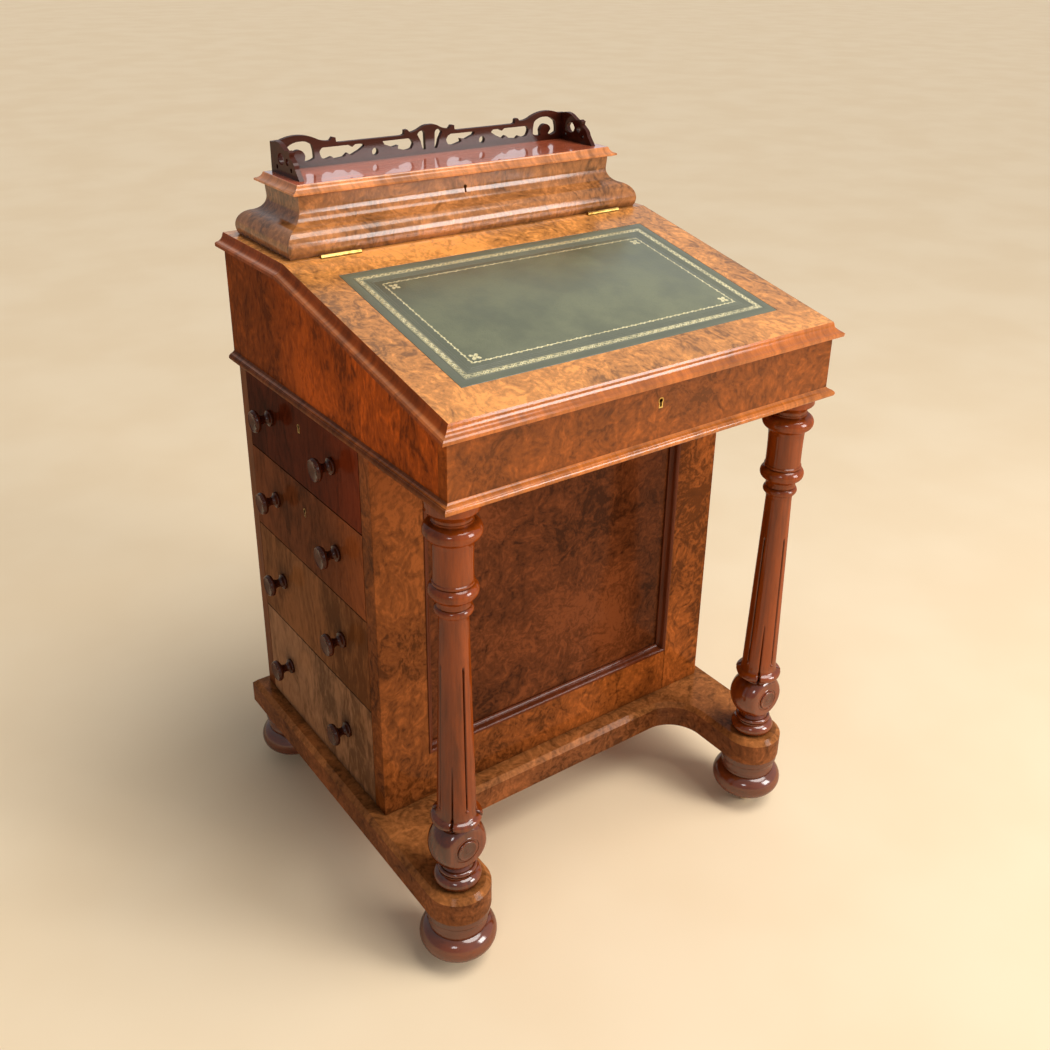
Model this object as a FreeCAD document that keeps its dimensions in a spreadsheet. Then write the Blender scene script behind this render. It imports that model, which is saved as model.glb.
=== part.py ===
import FreeCAD, Part
import math
import os
import re

import Sketcher

# A davenport: a small writing desk whose sloping box overhangs a pedestal of drawers and two columns.
# Frame: X to the right seen from the front, Y to the back, Z up, origin on the floor below the middle.

# Driving sizes, in millimetres and degrees. Each one can be set by itself.
sizes = {
    # whole desk
    "overall_depth": 536,
    "desk_width": 530,
    "desk_setback": 15,
    "desk_back_setback": 17,
    "cut_overrun": 5,
    # castors
    "wheel_radius": 13,
    "wheel_width": 11,
    "wheel_edge": 2,
    "axle_radius": 2.5,
    "running_clear": 0.05,
    "castor_trail": 11,
    "castor_seat": 0.3,
    "spindle_radius": 4,
    "spindle_length": 30,
    "horn_leg_thick": 2.5,
    "horn_leg_reach": 5,
    "horn_crown_thick": 3,
    "horn_heel": 8,
    "horn_side_clear": 0.6,
    "horn_wheel_clear": 2,
    # feet and plinth
    "foot_radius": 46,
    "foot_clear": 18,
    "foot_height": 61,
    "castor_well_radius": 28,
    "plinth_thick": 36,
    "plinth_lip": 20,
    "arm_width": 79,
    "plinth_ledge": 26,
    "sweep_radius": 48,
    "plinth_chamfer": 6,
    "plinth_back_lip": 16,
    # columns
    "column_radius": 33.5,
    "facet_reach": 21.5,
    "facet_height": 52,
    "facet_lift": 57,
    # pedestal
    "case_reveal": 5,
    "case_height": 496,
    "case_setback": 165,
    "frame_thick": 24,
    "back_frame_thick": 19,
    "stile_width": 65,
    "bottom_rail": 66,
    "top_rail": 70,
    "panel_thick": 8,
    "panel_recess": 10,
    "back_panel_recess": 8,
    "panel_moulding_width": 10,
    "panel_moulding_proud": 1,
    "side_panel_thick": 10,
    # drawers
    "drawer_one_height": 112,
    "drawer_two_height": 114.5,
    "drawer_three_height": 128,
    "drawer_front_thick": 20,
    "drawer_gap": 1.5,
    "drawer_clear": 0.3,
    "drawer_side_clear": 1,
    "drawer_headroom": 5,
    "drawer_back_room": 25,
    "drawer_side_thick": 9,
    "drawer_bottom_thick": 6,
    "drawer_bottom_lift": 4,
    "dust_board_thick": 8,
    "drawer_stop_gap": 0.5,
    "knob_radius": 14,
    "knob_reach": 24,
    "knob_inset": 65.25,
    "knob_lift": 4,
    # desk box
    "desk_back_height": 162,
    "cheek_thick": 14,
    "front_rail_thick": 16,
    "desk_back_thick": 12,
    "desk_floor_thick": 12,
    "lower_moulding_reach": 8.2,
    "lower_moulding_height": 12,
    # lid and fixed top
    "top_thick": 20,
    "top_reveal": 2,
    "top_back_lip": 4,
    "fixed_top_depth": 169,
    "lid_slope": 11.5,
    "lid_rest_gap": 0.2,
    "lid_joint_gap": 0.4,
    "edge_moulding_reach": 11.6,
    "leather_thick": 1.2,
    "leather_margin": 48,
    "leather_back_margin": 45,
    "leather_side_margin": 45,
    # stationery box
    "box_reveal": 13,
    "box_back_reveal": 19.2,
    "box_height": 63.5,
    "box_setback": 7.8,
    "box_wall": 40,
    "ogee_inset": 27,
    "box_rest_gap": 0.3,
    "box_lid_thick": 12.5,
    "box_lid_inset": 26,
    "box_moulding_reach": 9,
    "divider_thick": 5,
    "divider_height": 50,
    # gallery
    "gallery_end_inset": 10,
    "gallery_front_inset": 14,
    "gallery_height": 37.5,
    "gallery_thick": 6,
    "gallery_inset": 2,
    # hinges
    "hinge_length": 51,
    "hinge_inset": 71.5,
    "hinge_rise": 0.8,
    "box_hinge_length": 38,
    "box_hinge_inset": 74,
    "knuckle_radius": 2.8,
    "knuckle_clear": 0.4,
    "knuckle_gap": 0.15,
    "hinge_pin_radius": 1.3,
    "leaf_thick": 1.5,
    "leaf_width": 14,
    # locks
    "lock_width": 50,
    "lock_height": 30,
    "lock_thick": 8,
    "lock_drop": 3,
    "box_lock_width": 36,
    "box_lock_height": 18,
    "box_lock_thick": 6,
    "keyhole_drop": 17,
    "box_keyhole_drop": 14,
    "drawer_keyhole_drop": 34,
    "keyhole_radius": 2.3,
    "keyhole_slot": 2.6,
    "keyhole_length": 7,
    "escutcheon_thread": 1.4,
    "escutcheon_depth": 3,
}

# Places that follow from the driving sizes.
derived = {
    "case_width": "desk_width - 2 * case_reveal",
    "plinth_width": "case_width + 2 * plinth_lip",
    "top_width": "desk_width - 2 * top_reveal",
    "column_x": "(plinth_width - arm_width) / 2",
    "column_y": "foot_radius - overall_depth / 2",
    "rear_foot_y": "overall_depth / 2 - foot_radius",
    "plinth_bottom": "foot_clear + foot_height",
    "plinth_top": "plinth_bottom + plinth_thick",
    "desk_bottom": "plinth_top + case_height",
    "desk_front": "desk_setback - overall_depth / 2",
    "desk_back": "overall_depth / 2 - desk_back_setback",
    "desk_depth": "desk_back - desk_front",
    "case_front": "desk_front + case_setback",
    "plinth_front": "case_front - plinth_ledge",
    "plinth_back": "desk_back + plinth_back_lip",
    "arm_inner": "plinth_width / 2 - arm_width",
    "top_z": "desk_bottom + desk_back_height",
    "seat_z": "top_z - top_thick",
    "top_back": "desk_back + top_back_lip",
    "hinge_y": "top_back - fixed_top_depth",
    "hinge_z": "top_z + hinge_rise",
    "hinge_spread": "top_width - 2 * hinge_inset",
    "lid_length": "(hinge_y - desk_front) / cos(lid_slope)",
    "leather_width": "top_width - 2 * leather_side_margin",
    "leather_length": "lid_length - leather_margin - leather_back_margin",
    "seat_drop": "(top_thick + lid_rest_gap) / cos(lid_slope)",
    "rail_y": "desk_front + front_rail_thick",
    "rail_front_z": "top_z - seat_drop - (hinge_y - desk_front) * tan(lid_slope)",
    "rail_back_z": "rail_front_z + front_rail_thick * tan(lid_slope)",
    "well_half": "desk_width / 2 - cheek_thick",
    "box_width": "top_width - 2 * box_reveal",
    "box_depth": "fixed_top_depth - box_setback - box_back_reveal",
    "box_front": "hinge_y + box_setback",
    "box_back": "box_front + box_depth",
    "box_middle": "(box_front + box_back) / 2",
    "box_top": "top_z + box_height",
    "box_lid_z": "box_top + box_rest_gap",
    "box_lid_span": "box_width - 2 * box_lid_inset",
    "box_lid_depth": "box_depth - 2 * box_lid_inset",
    "divider_spread": "(box_width - 2 * box_wall) / 3",
    "box_hinge_spread": "box_lid_span - 2 * box_hinge_inset",
    "gallery_width": "box_lid_span - 2 * gallery_end_inset",
    "gallery_depth": "box_lid_depth - gallery_inset - gallery_front_inset",
    "gallery_z": "box_lid_z + box_lid_thick",
    "gallery_back": "box_back - box_lid_inset - gallery_inset",
    "box_hinge_y": "box_back - box_lid_inset + knuckle_radius + knuckle_clear",
    "box_hinge_z": "box_top + box_rest_gap / 2",
    "case_inner": "case_width / 2 - drawer_front_thick",
    "drawer_length": "2 * case_inner - drawer_back_room",
    "inside_y": "case_front + frame_thick",
    "inside_depth": "desk_back - back_frame_thick - inside_y",
    "opening_width": "case_width - 2 * stile_width",
    "opening_height": "case_height - bottom_rail - top_rail",
    "opening_z": "plinth_top + bottom_rail",
    "drawer_low_y": "inside_y + drawer_gap / 2",
    "drawer_width": "inside_depth - drawer_gap",
    "knob_spread": "drawer_width - 2 * knob_inset",
    "drawer_middle_y": "inside_y + inside_depth / 2",
    "drawer_line_one": "desk_bottom - drawer_one_height",
    "drawer_line_two": "drawer_line_one - drawer_two_height",
    "drawer_line_three": "drawer_line_two - drawer_three_height",
    "crown_z": "2 * wheel_radius + horn_wheel_clear",
    "horn_top": "crown_z + horn_crown_thick",
    "well_top": "horn_top + castor_seat",
    "horn_half": "wheel_width / 2 + horn_side_clear + horn_leg_thick",
}

# Directions in which the four castors trail at rest, in degrees from +X.
castor_angles = {"front_left": 60, "front_right": 220, "rear_left": 20, "rear_right": 150}

# Turned outlines, from the bottom up: share of the radius, share of the height, bulge of the next stretch.
# A bulge is the tangent of a quarter of the arc's angle: positive swells out, negative hollows in.
foot_shares = [
    (0.717, 0.0, 0.75), (0.728, 0.557, 0), (0.765, 0.557, 0), (0.765, 0.607, -0.22), (0.765, 0.844, 0),
    (0.83, 0.861, 0), (0.83, 1.0, 0),
]
column_shares = [
    (0.0, 0.0, 0), (0.657, 0.0, 0.75), (0.657, 0.032, 0), (0.657, 0.036, 0), (0.597, 0.036, 0.9),
    (0.597, 0.049, 0), (0.567, 0.049, 0), (0.507, 0.0567, 0.537), (0.597, 0.169, 0), (0.597, 0.176, 0),
    (0.806, 0.184, 0.8), (0.806, 0.196, 0), (0.72, 0.2, -0.1), (0.66, 0.222, 0), (0.463, 0.71, -0.1),
    (0.5, 0.722, 0), (0.537, 0.726, 0.75), (0.537, 0.75, 0), (0.567, 0.752, 0), (0.567, 0.762, 0),
    (0.657, 0.764, 0.65), (0.657, 0.8, 0), (0.642, 0.802, 0), (0.642, 0.809, 0), (0.612, 0.811, -0.02),
    (0.627, 0.891, 0), (0.716, 0.897, 0.7), (0.716, 0.938, 0), (0.642, 0.94, 0), (0.657, 0.942, 0),
    (0.657, 0.948, 0), (0.627, 0.95, -0.35), (0.821, 0.972, 0), (0.866, 0.976, 0), (0.866, 1.0, 0),
    (0.0, 1.0, 0),
]
knob_shares = [
    (0.0, 0.0, 0), (0.72, 0.0, 0.2), (0.70, 0.14, 0), (0.50, 0.20, -0.35), (0.42, 0.52, -0.35),
    (0.90, 0.72, 0.3), (1.0, 0.80, 0.3), (0.98, 0.92, 0.3), (0.88, 1.0, 0), (0.78, 0.97, 0), (0.0, 0.86, 0),
]
# Moulding outlines: share of the reach outwards, share of the height, bulge.
edge_shares = [
    (0.0, 0.0, 0), (0.10, -0.12, 0.35), (0.82, -0.52, 0), (1.0, -0.58, 0), (1.0, -0.78, 0.2),
    (0.17, -1.0, 0), (0.0, -1.0, 0),
]
lower_shares = [
    (0.0, 1.0, 0.15), (0.62, 0.72, 0), (0.68, 0.66, -0.6), (0.68, 0.06, 0), (0.5, 0.0, 0), (0.0, 0.0, 0),
]
box_edge_shares = [
    (0.0, 0.0, 0), (0.08, -0.05, 0.3), (0.85, -0.60, 0), (1.0, -0.66, 0), (1.0, -0.82, 0),
    (0.35, -1.0, 0), (0.0, -1.0, 0),
]
panel_edge_shares = [
    (0.0, 0.0, 0), (0.0, 1.0, -0.5), (0.45, 0.75, 0), (0.5, 0.55, 0.3), (1.0, 0.18, 0), (1.0, 0.0, 0),
]
# The stationery box's side: share of the inset, share of the height.
ogee_shares = [(0.0, 0.0, 0.506), (-0.48, 0.488, -0.364), (-1.0, 0.787, 0), (-0.963, 1.0, 0)]
# The gallery back's right half, from the middle to the end: share of the half width, share of the height.
gallery_top_shares = [
    (0.0, 0.96, -0.12), (0.05, 0.92, 0.12), (0.135, 0.76, 0), (0.152, 0.87, 0), (0.17, 0.86, 0),
    (0.172, 0.73, 0), (0.187, 0.69, 0), (0.60, 0.69, 0), (0.614, 0.72, 0), (0.617, 0.85, 0),
    (0.635, 0.87, 0), (0.65, 0.77, 0.15), (0.74, 0.89, -0.2), (0.95, 0.93, 0), (1.0, 0.92, 0),
]
gallery_hole_shares = [
    [(0.752, 0.27, -0.1), (0.762, 0.69, -0.2), (0.84, 0.83, -0.2), (0.925, 0.64, -0.1), (0.935, 0.27, -0.1),
     (0.89, 0.17, 0), (0.87, 0.24, 0), (0.888, 0.37, 0.3), (0.87, 0.53, 0.3), (0.83, 0.55, 0.2),
     (0.808, 0.37, 0), (0.813, 0.2, -0.2)],
    [(0.449, 0.57, 0), (0.495, 0.575, 0), (0.515, 0.5, 0), (0.535, 0.575, 0), (0.70, 0.575, -0.2),
     (0.72, 0.45, -0.1), (0.71, 0.27, -0.2), (0.68, 0.2, 0), (0.645, 0.26, 0), (0.626, 0.175, 0),
     (0.57, 0.21, 0), (0.545, 0.32, 0), (0.523, 0.23, 0), (0.467, 0.37, 0), (0.435, 0.49, 0)],
    [(0.348, 0.27, 1), (0.39, 0.27, 1)],
    [(0.145, 0.58, 0), (0.318, 0.575, 0), (0.308, 0.47, 0), (0.252, 0.35, 0), (0.215, 0.39, 0),
     (0.22, 0.28, 0), (0.168, 0.2, -0.1), (0.126, 0.24, -0.1), (0.112, 0.4, -0.1), (0.126, 0.53, 0)],
    [(0.03, 0.16, 0), (0.047, 0.16, 0.1), (0.063, 0.43, 0), (0.086, 0.67, 0.3), (0.051, 0.79, 0.3),
     (0.033, 0.67, 0)],
]
# A gallery end, from the back to the front: share of the depth, share of the height.
gallery_end_shares = [
    (0.0, 0.0, 0), (0.0, 0.92, 0), (0.12, 0.97, 0.1), (0.32, 0.93, 0), (0.5, 0.77, 0), (0.6, 0.81, 0),
    (0.68, 0.76, 0), (0.66, 0.65, 0), (0.76, 0.53, 0.2), (0.85, 0.32, 0), (0.94, 0.13, 0), (1.0, 0.0, 0),
]
gallery_end_hole_shares = [
    [(0.19, 0.48, -0.8), (0.44, 0.48, -0.8)],
    [(0.5, 0.45, -1), (0.62, 0.45, -1)],
    [(0.66, 0.24, -1), (0.74, 0.24, -1)],
    [(0.11, 0.21, -1), (0.19, 0.21, -1)],
]

doc = FreeCAD.newDocument("Davenport")
sheet = doc.addObject("Spreadsheet::Sheet", "Sizes")
for row, (name, number) in enumerate(sizes.items(), start=1):
    sheet.set(f"A{row}", name)
    sheet.set(f"B{row}", str(number))
    sheet.setAlias(f"B{row}", name)
doc.recompute()

nodes = {}
along_plus_x = FreeCAD.Rotation(FreeCAD.Vector(0, 1, 0), 90)
along_minus_x = FreeCAD.Rotation(FreeCAD.Vector(0, 1, 0), -90)
along_plus_y = FreeCAD.Rotation(FreeCAD.Vector(1, 0, 0), -90)
both_sides = (("left", -1), ("right", 1))


def link(text):
    """The expression with sizes pointed at the sheet and derived places written out."""
    def swap(match):
        word = match.group(0)
        if word in derived:
            return "(" + link(derived[word]) + ")"
        return "Sizes." + word if word in sizes else word
    return re.sub(r"[a-z_]+", swap, text)


def value(text):
    return float(sheet.evalExpression(link(text)))


def bind(item, name, text):
    item.setExpression(name, link(text))


def about_z(degrees):
    return FreeCAD.Rotation(FreeCAD.Vector(0, 0, 1), degrees)


def place(item, x="0", y="0", z="0", turn=None):
    if turn is not None:
        item.Placement = FreeCAD.Placement(FreeCAD.Vector(), turn)
    for axis, text in zip("xyz", (x, y, z)):
        bind(item, "Placement.Base." + axis, text)
    return item


def board(name, low, span):
    """A rectangular board from its low corner and its three sizes."""
    item = doc.addObject("Part::Box", name)
    for side, text in zip(("Length", "Width", "Height"), span):
        bind(item, side, text)
    return place(item, *low)


def rod(name, radius, length, start, turn=None):
    item = doc.addObject("Part::Cylinder", name)
    bind(item, "Radius", radius)
    bind(item, "Height", length)
    return place(item, *start, turn=turn)


def cut(name, base, tools):
    """The base with each tool cut out in turn."""
    for step, tool in enumerate(tools, start=1):
        item = doc.addObject("Part::Cut", f"{name}_{step}")
        item.Base = base
        item.Tool = tool
        base = item
    return base


def fuse(name, members):
    item = doc.addObject("Part::MultiFuse", name)
    item.Shapes = members
    return item


def group(name, members):
    item = doc.addObject("Part::Compound", name)
    item.Links = members
    return item


def node(name, item):
    """Marks a finished piece, or a group of like pieces, to be exported under its name."""
    item.Label = name
    nodes[name] = item


def scaled(shares, across, up):
    """Outline points from shares of two sizes."""
    return [(f"{x} * ({across})", f"{y} * ({up})", bulge) for x, y, bulge in shares]


def lean(bulge):
    """How far an arc's centre lies from the middle of its chord, as a share of the chord."""
    return (1 - bulge ** 2) / (4 * bulge)


def round_edge(start, end, bulge):
    """An arc between two spots, drawn counter-clockwise, so a hollow one runs from its end."""
    chord = end - start
    centre = (start + end) * 0.5 - FreeCAD.Vector(chord.y, -chord.x, 0) * lean(bulge)
    first, last = (start, end) if bulge > 0 else (end, start)
    low, high = [math.atan2(spot.y - centre.y, spot.x - centre.x) for spot in (first, last)]
    circle = Part.Circle(centre, FreeCAD.Vector(0, 0, 1), (start - centre).Length)
    return Part.ArcOfCircle(circle, low, high if high > low else high + 2 * math.pi)


def centre_tie(start, end, chord, edge):
    """The place of an arc's centre along the axis on which it is the better fixed."""
    (x, y, bulge), (end_x, end_y, _) = start, end
    if abs(chord.y) > abs(chord.x):
        return "DistanceX", edge, 3, f"(({x}) + ({end_x})) / 2 - (({end_y}) - ({y})) * ({lean(bulge):.6f})"
    return "DistanceY", edge, 3, f"(({y}) + ({end_y})) / 2 + (({end_x}) - ({x})) * ({lean(bulge):.6f})"


def sketch_on(body, role, loops, name):
    """A fully constrained sketch of closed loops of lines and arcs on one of the body's own planes."""
    sketch = body.newObject("Sketcher::SketchObject", name)
    plane = [feature for feature in body.Origin.OriginFeatures if feature.Role == role][0]
    sketch.AttachmentSupport = [(plane, "")]
    sketch.MapMode = "FlatFace"
    edges, joins, ties = [], [], []
    for points in loops:
        first = len(edges)
        spots = [FreeCAD.Vector(value(x), value(y), 0) for x, y, bulge in points]
        starts = [2 if bulge < 0 else 1 for x, y, bulge in points]
        for step, (x, y, bulge) in enumerate(points):
            edge, after = first + step, (step + 1) % len(points)
            spot, next_spot = spots[step], spots[after]
            edges.append(round_edge(spot, next_spot, bulge) if bulge else Part.LineSegment(spot, next_spot))
            joint = ("Coincident", edge, 3 - starts[step], first + after, starts[after])
            joins.append(Sketcher.Constraint(*joint))
            ties += [("DistanceX", edge, starts[step], x), ("DistanceY", edge, starts[step], y)]
            if bulge:
                ties.append(centre_tie(points[step], points[after], next_spot - spot, edge))
    sketch.addGeometry(edges, False)
    sketch.addConstraint(joins + [Sketcher.Constraint(*tie[:3], value(tie[3])) for tie in ties])
    for number, (kind, edge, end, text) in enumerate(ties, start=len(joins)):
        bind(sketch, f"Constraints[{number}]", text)
    return sketch


def padded(name, role, loops, length, symmetric=False):
    """A flat piece: outline loops on a plane, made thick."""
    body = doc.addObject("PartDesign::Body", name)
    pad = body.newObject("PartDesign::Pad", name + "_pad")
    pad.Profile = sketch_on(body, role, loops, name + "_outline")
    pad.Midplane = symmetric
    bind(pad, "Length", length)
    body.Tip = pad
    return body


def pierce(body, role, loops, name):
    """Cuts outline loops right through a body, both ways from their plane."""
    pocket = body.newObject("PartDesign::Pocket", name)
    pocket.Profile = sketch_on(body, role, loops, name + "_outline")
    pocket.Type = "ThroughAll"
    pocket.Midplane = True
    body.Tip = pocket


def turned(name, points):
    """A lathe-turned piece about its own Z axis."""
    body = doc.addObject("PartDesign::Body", name)
    sketch = sketch_on(body, "XZ_Plane", [points], name + "_outline")
    spin = body.newObject("PartDesign::Revolution", name + "_turning")
    spin.Profile = sketch
    spin.ReferenceAxis = (sketch, ["V_Axis"])
    body.Tip = spin
    return body


def strip(name, points, span, outer, inner="cut_overrun", mitres=(True, True), inward=False):
    """A length of moulding along X, its face towards +Y, mitred at the ends that join others."""
    body = padded(name, "YZ_Plane", [points], f"{span} + 2 * ({outer})", symmetric=True)
    slant = -1 if inward else 1
    loops = []
    for side, mitred in zip((-1, 1), mitres):
        near = f"{side} * ({span}) / 2"
        outer_end = f"{near} + {side * slant} * ({outer})" if mitred else near
        inner_end = f"{near} - {side * slant} * ({inner})" if mitred else near
        beyond = f"{side} * (({span}) / 2 + 2 * ({outer}) + ({inner}))"
        loops.append([(inner_end, f"-({inner})", 0), (outer_end, outer, 0), (beyond, outer, 0),
                      (beyond, f"-({inner})", 0)])
    pierce(body, "XY_Plane", loops, name + "_ends")
    return body


def keyhole(name, x, y, z, depth, rim="0", along_y=True):
    """The space of a keyhole sunk from a face: a round eye with a slot below it, widened by a rim."""
    length = f"keyhole_length + {rim}"
    slot = f"keyhole_slot + 2 * ({rim})"
    turn = along_plus_y if along_y else along_plus_x
    eye = rod(name + "_eye", f"keyhole_radius + {rim}", depth, (x, y, z), turn)
    if along_y:
        low, span = (f"{x} - ({slot}) / 2", y, f"{z} - ({length})"), (slot, depth, length)
    else:
        low, span = (x, f"{y} - ({slot}) / 2", f"{z} - ({length})"), (depth, slot, length)
    return fuse(name, [eye, board(name + "_slot", low, span)])


# Castors, feet, plinth and columns

foot_places = {
    "front_left": ("-column_x", "column_y"), "front_right": ("column_x", "column_y"),
    "rear_left": ("-column_x", "rear_foot_y"), "rear_right": ("column_x", "rear_foot_y"),
}


def bun_foot(name):
    """A bun with a collar, a well below for the castor and a hole for its spindle."""
    hole = "spindle_radius + running_clear"
    outside = scaled(foot_shares, "foot_radius", "foot_height")
    outside = [(x, f"{z} + foot_clear", bulge) for x, z, bulge in outside]
    inside = [(hole, "plinth_bottom", 0), (hole, "well_top", 0), ("castor_well_radius", "well_top", 0),
              ("castor_well_radius", "foot_clear", 0)]
    return turned(name, outside + inside)


def castor_horn(name):
    """The fork of a castor with its spindle and the riveted axle, trailing towards its own +X."""
    low_z = "wheel_radius - horn_leg_reach"
    leg = ("castor_trail + horn_leg_reach + spindle_radius", "horn_leg_thick", f"crown_z - ({low_z})")
    crown = board(name + "_crown", ("-horn_heel", "-horn_half", "crown_z"),
                  ("horn_heel + castor_trail + horn_leg_reach", "2 * horn_half", "horn_crown_thick"))
    near = board(name + "_near_leg", ("-spindle_radius", "-horn_half", low_z), leg)
    far = board(name + "_far_leg", ("-spindle_radius", "horn_half - horn_leg_thick", low_z), leg)
    spindle = rod(name + "_spindle", "spindle_radius", "spindle_length", ("0", "0", "horn_top"))
    axle = rod(name + "_axle", "axle_radius", "2 * horn_half", ("castor_trail", "-horn_half", "wheel_radius"),
               along_plus_y)
    return fuse(name, [crown, near, far, spindle, axle])


def castor_wheel(name):
    """A wheel with softened edges on the horn's axle."""
    bore = "axle_radius + running_clear"
    rim = "wheel_radius - wheel_edge"
    half = "wheel_width / 2"
    points = [(bore, f"-{half}", 0), (rim, f"-{half}", 0), ("wheel_radius", f"wheel_edge - {half}", 0),
              ("wheel_radius", f"{half} - wheel_edge", 0), (rim, half, 0), (bore, half, 0)]
    return place(turned(name, points), "castor_trail", "0", "wheel_radius", along_plus_y)


feet = []
for corner, (x, y) in foot_places.items():
    feet.append(place(bun_foot("foot_" + corner), x, y))
    for piece, maker in (("horn", castor_horn), ("wheel", castor_wheel)):
        swung = group(f"{piece}_{corner}_swung", [maker(f"{piece}_{corner}")])
        node(f"castor_{piece}_{corner}", place(swung, x, y, turn=about_z(castor_angles[corner])))
node("bun_feet", group("feet_set", feet))

half_turn = 1
quarter_turn = math.tan(math.pi / 8)
plinth_outline = [
    ("-plinth_width / 2", "plinth_back", 0), ("-plinth_width / 2", "column_y", half_turn),
    ("-arm_inner", "column_y", 0), ("-arm_inner", "plinth_front - sweep_radius", -quarter_turn),
    ("sweep_radius - arm_inner", "plinth_front", 0),
    ("arm_inner - sweep_radius", "plinth_front", -quarter_turn),
    ("arm_inner", "plinth_front - sweep_radius", 0), ("arm_inner", "column_y", half_turn),
    ("plinth_width / 2", "column_y", 0), ("plinth_width / 2", "plinth_back", 0),
]
plinth = padded("plinth", "XY_Plane", [plinth_outline], "plinth_thick")
doc.recompute()
slab = plinth.Tip
heights = [face.CenterOfMass.z for face in slab.Shape.Faces]
chamfer = plinth.newObject("PartDesign::Chamfer", "plinth_arris")
chamfer.Base = (slab, [f"Face{heights.index(max(heights)) + 1}"])
bind(chamfer, "Size", "plinth_chamfer")
plinth.Tip = chamfer
node("base_plinth", place(plinth, z="plinth_bottom"))

for side, sign in both_sides:
    turning = turned(side + "_turning", scaled(column_shares, "column_radius", "case_height"))
    flat_low = ("-column_radius", "-facet_reach - column_radius", "facet_lift - facet_height / 2")
    flat = board(side + "_ball_flat", flat_low, ("2 * column_radius", "column_radius", "facet_height"))
    column = group(side + "_column_set", [cut(side + "_carving", turning, [flat])])
    node(side + "_column", place(column, f"{sign} * column_x", "column_y", "plinth_top"))

# Pedestal


def frame_and_panel(prefix, face_y, facing, thick, recess):
    """Stiles, rails, a sunk panel and its mitred moulding; facing is -1 to the front and 1 to the back."""
    low_y = face_y if facing < 0 else f"{face_y} - {thick}"
    rail_x = "-opening_width / 2"
    stile = ("stile_width", thick, "case_height")
    pieces = [
        board(prefix + "_left_stile", ("-case_width / 2", low_y, "plinth_top"), stile),
        board(prefix + "_right_stile", ("opening_width / 2", low_y, "plinth_top"), stile),
        board(prefix + "_bottom_rail", (rail_x, low_y, "plinth_top"), ("opening_width", thick, "bottom_rail")),
        board(prefix + "_top_rail", (rail_x, low_y, "desk_bottom - top_rail"),
              ("opening_width", thick, "top_rail")),
    ]
    node(prefix + "_frame", group(prefix + "_frame_set", pieces))
    panel_face = f"{face_y} + {-facing} * {recess}"
    panel_y = panel_face if facing < 0 else f"{panel_face} - panel_thick"
    node(prefix + "_panel", board(prefix + "_panel_board", (rail_x, panel_y, "opening_z"),
                                  ("opening_width", "panel_thick", "opening_height")))
    points = scaled(panel_edge_shares, "panel_moulding_width", f"{recess} + panel_moulding_proud")
    upright = FreeCAD.Rotation(FreeCAD.Vector(1, 0, 0), 90)
    if facing > 0:
        upright = about_z(180).multiply(upright)
    middle_z = "opening_z + opening_height / 2"
    sides = [("bottom", 0, "opening_width", "0", "opening_z"),
             ("top", 180, "opening_width", "0", "opening_z + opening_height"),
             ("right", 90, "opening_height", f"{-facing} * opening_width / 2", middle_z),
             ("left", -90, "opening_height", f"{facing} * opening_width / 2", middle_z)]
    lengths = []
    for side, degrees, span, x, z in sides:
        length = strip(f"{prefix}_moulding_{side}", points, span, "panel_moulding_width", inward=True)
        lengths.append(place(length, x, panel_face, z, upright.multiply(about_z(degrees))))
    node(prefix + "_panel_moulding", group(prefix + "_moulding_set", lengths))


frame_and_panel("front", "case_front", -1, "frame_thick", "panel_recess")
frame_and_panel("back", "desk_back", 1, "back_frame_thick", "back_panel_recess")

dust_span = ("2 * case_inner - drawer_stop_gap", "inside_depth", "dust_board_thick")
dust_boards = []
for line in ("drawer_line_one", "drawer_line_two", "drawer_line_three"):
    dust_low = ("drawer_stop_gap - case_inner", "inside_y", f"{line} - dust_board_thick / 2")
    dust_boards.append(board("dust_board_on_" + line, dust_low, dust_span))
node("dust_boards", group("dust_board_set", dust_boards))
node("right_side_panel", board("side_board", ("case_inner", "inside_y", "plinth_top"),
                               ("side_panel_thick", "inside_depth", "case_height")))


def knob_pair(name, x, low, high, turn):
    """Two turned knobs in line on a drawer front."""
    knobs = []
    for end, side in (("front", -1), ("back", 1)):
        knob = turned(f"{name}_{end}_knob", scaled(knob_shares, "knob_radius", "knob_reach"))
        y = f"drawer_middle_y + {side} * knob_spread / 2"
        knobs.append(place(knob, x, y, f"({low} + {high}) / 2 + knob_lift", turn))
    return knobs


def drawer_box(name, low, high):
    """Two sides, a back and a bottom, behind a drawer front."""
    start = "-case_inner"
    low_y = "drawer_low_y + drawer_side_clear"
    width = "drawer_width - 2 * drawer_side_clear"
    height = f"{high} - ({low})"
    inner_y = low_y + " + drawer_side_thick"
    inner_width = width + " - 2 * drawer_side_thick"
    side = ("drawer_length", "drawer_side_thick", height)
    return [
        board(name + "_near_side", (start, low_y, low), side),
        board(name + "_far_side", (start, f"{low_y} + {width} - drawer_side_thick", low), side),
        board(name + "_back", (f"{start} + drawer_length - drawer_side_thick", inner_y, low),
              ("drawer_side_thick", inner_width, height)),
        board(name + "_bottom", (start, inner_y, f"{low} + drawer_bottom_lift"),
              ("drawer_length - drawer_side_thick", inner_width, "drawer_bottom_thick")),
    ]


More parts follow.
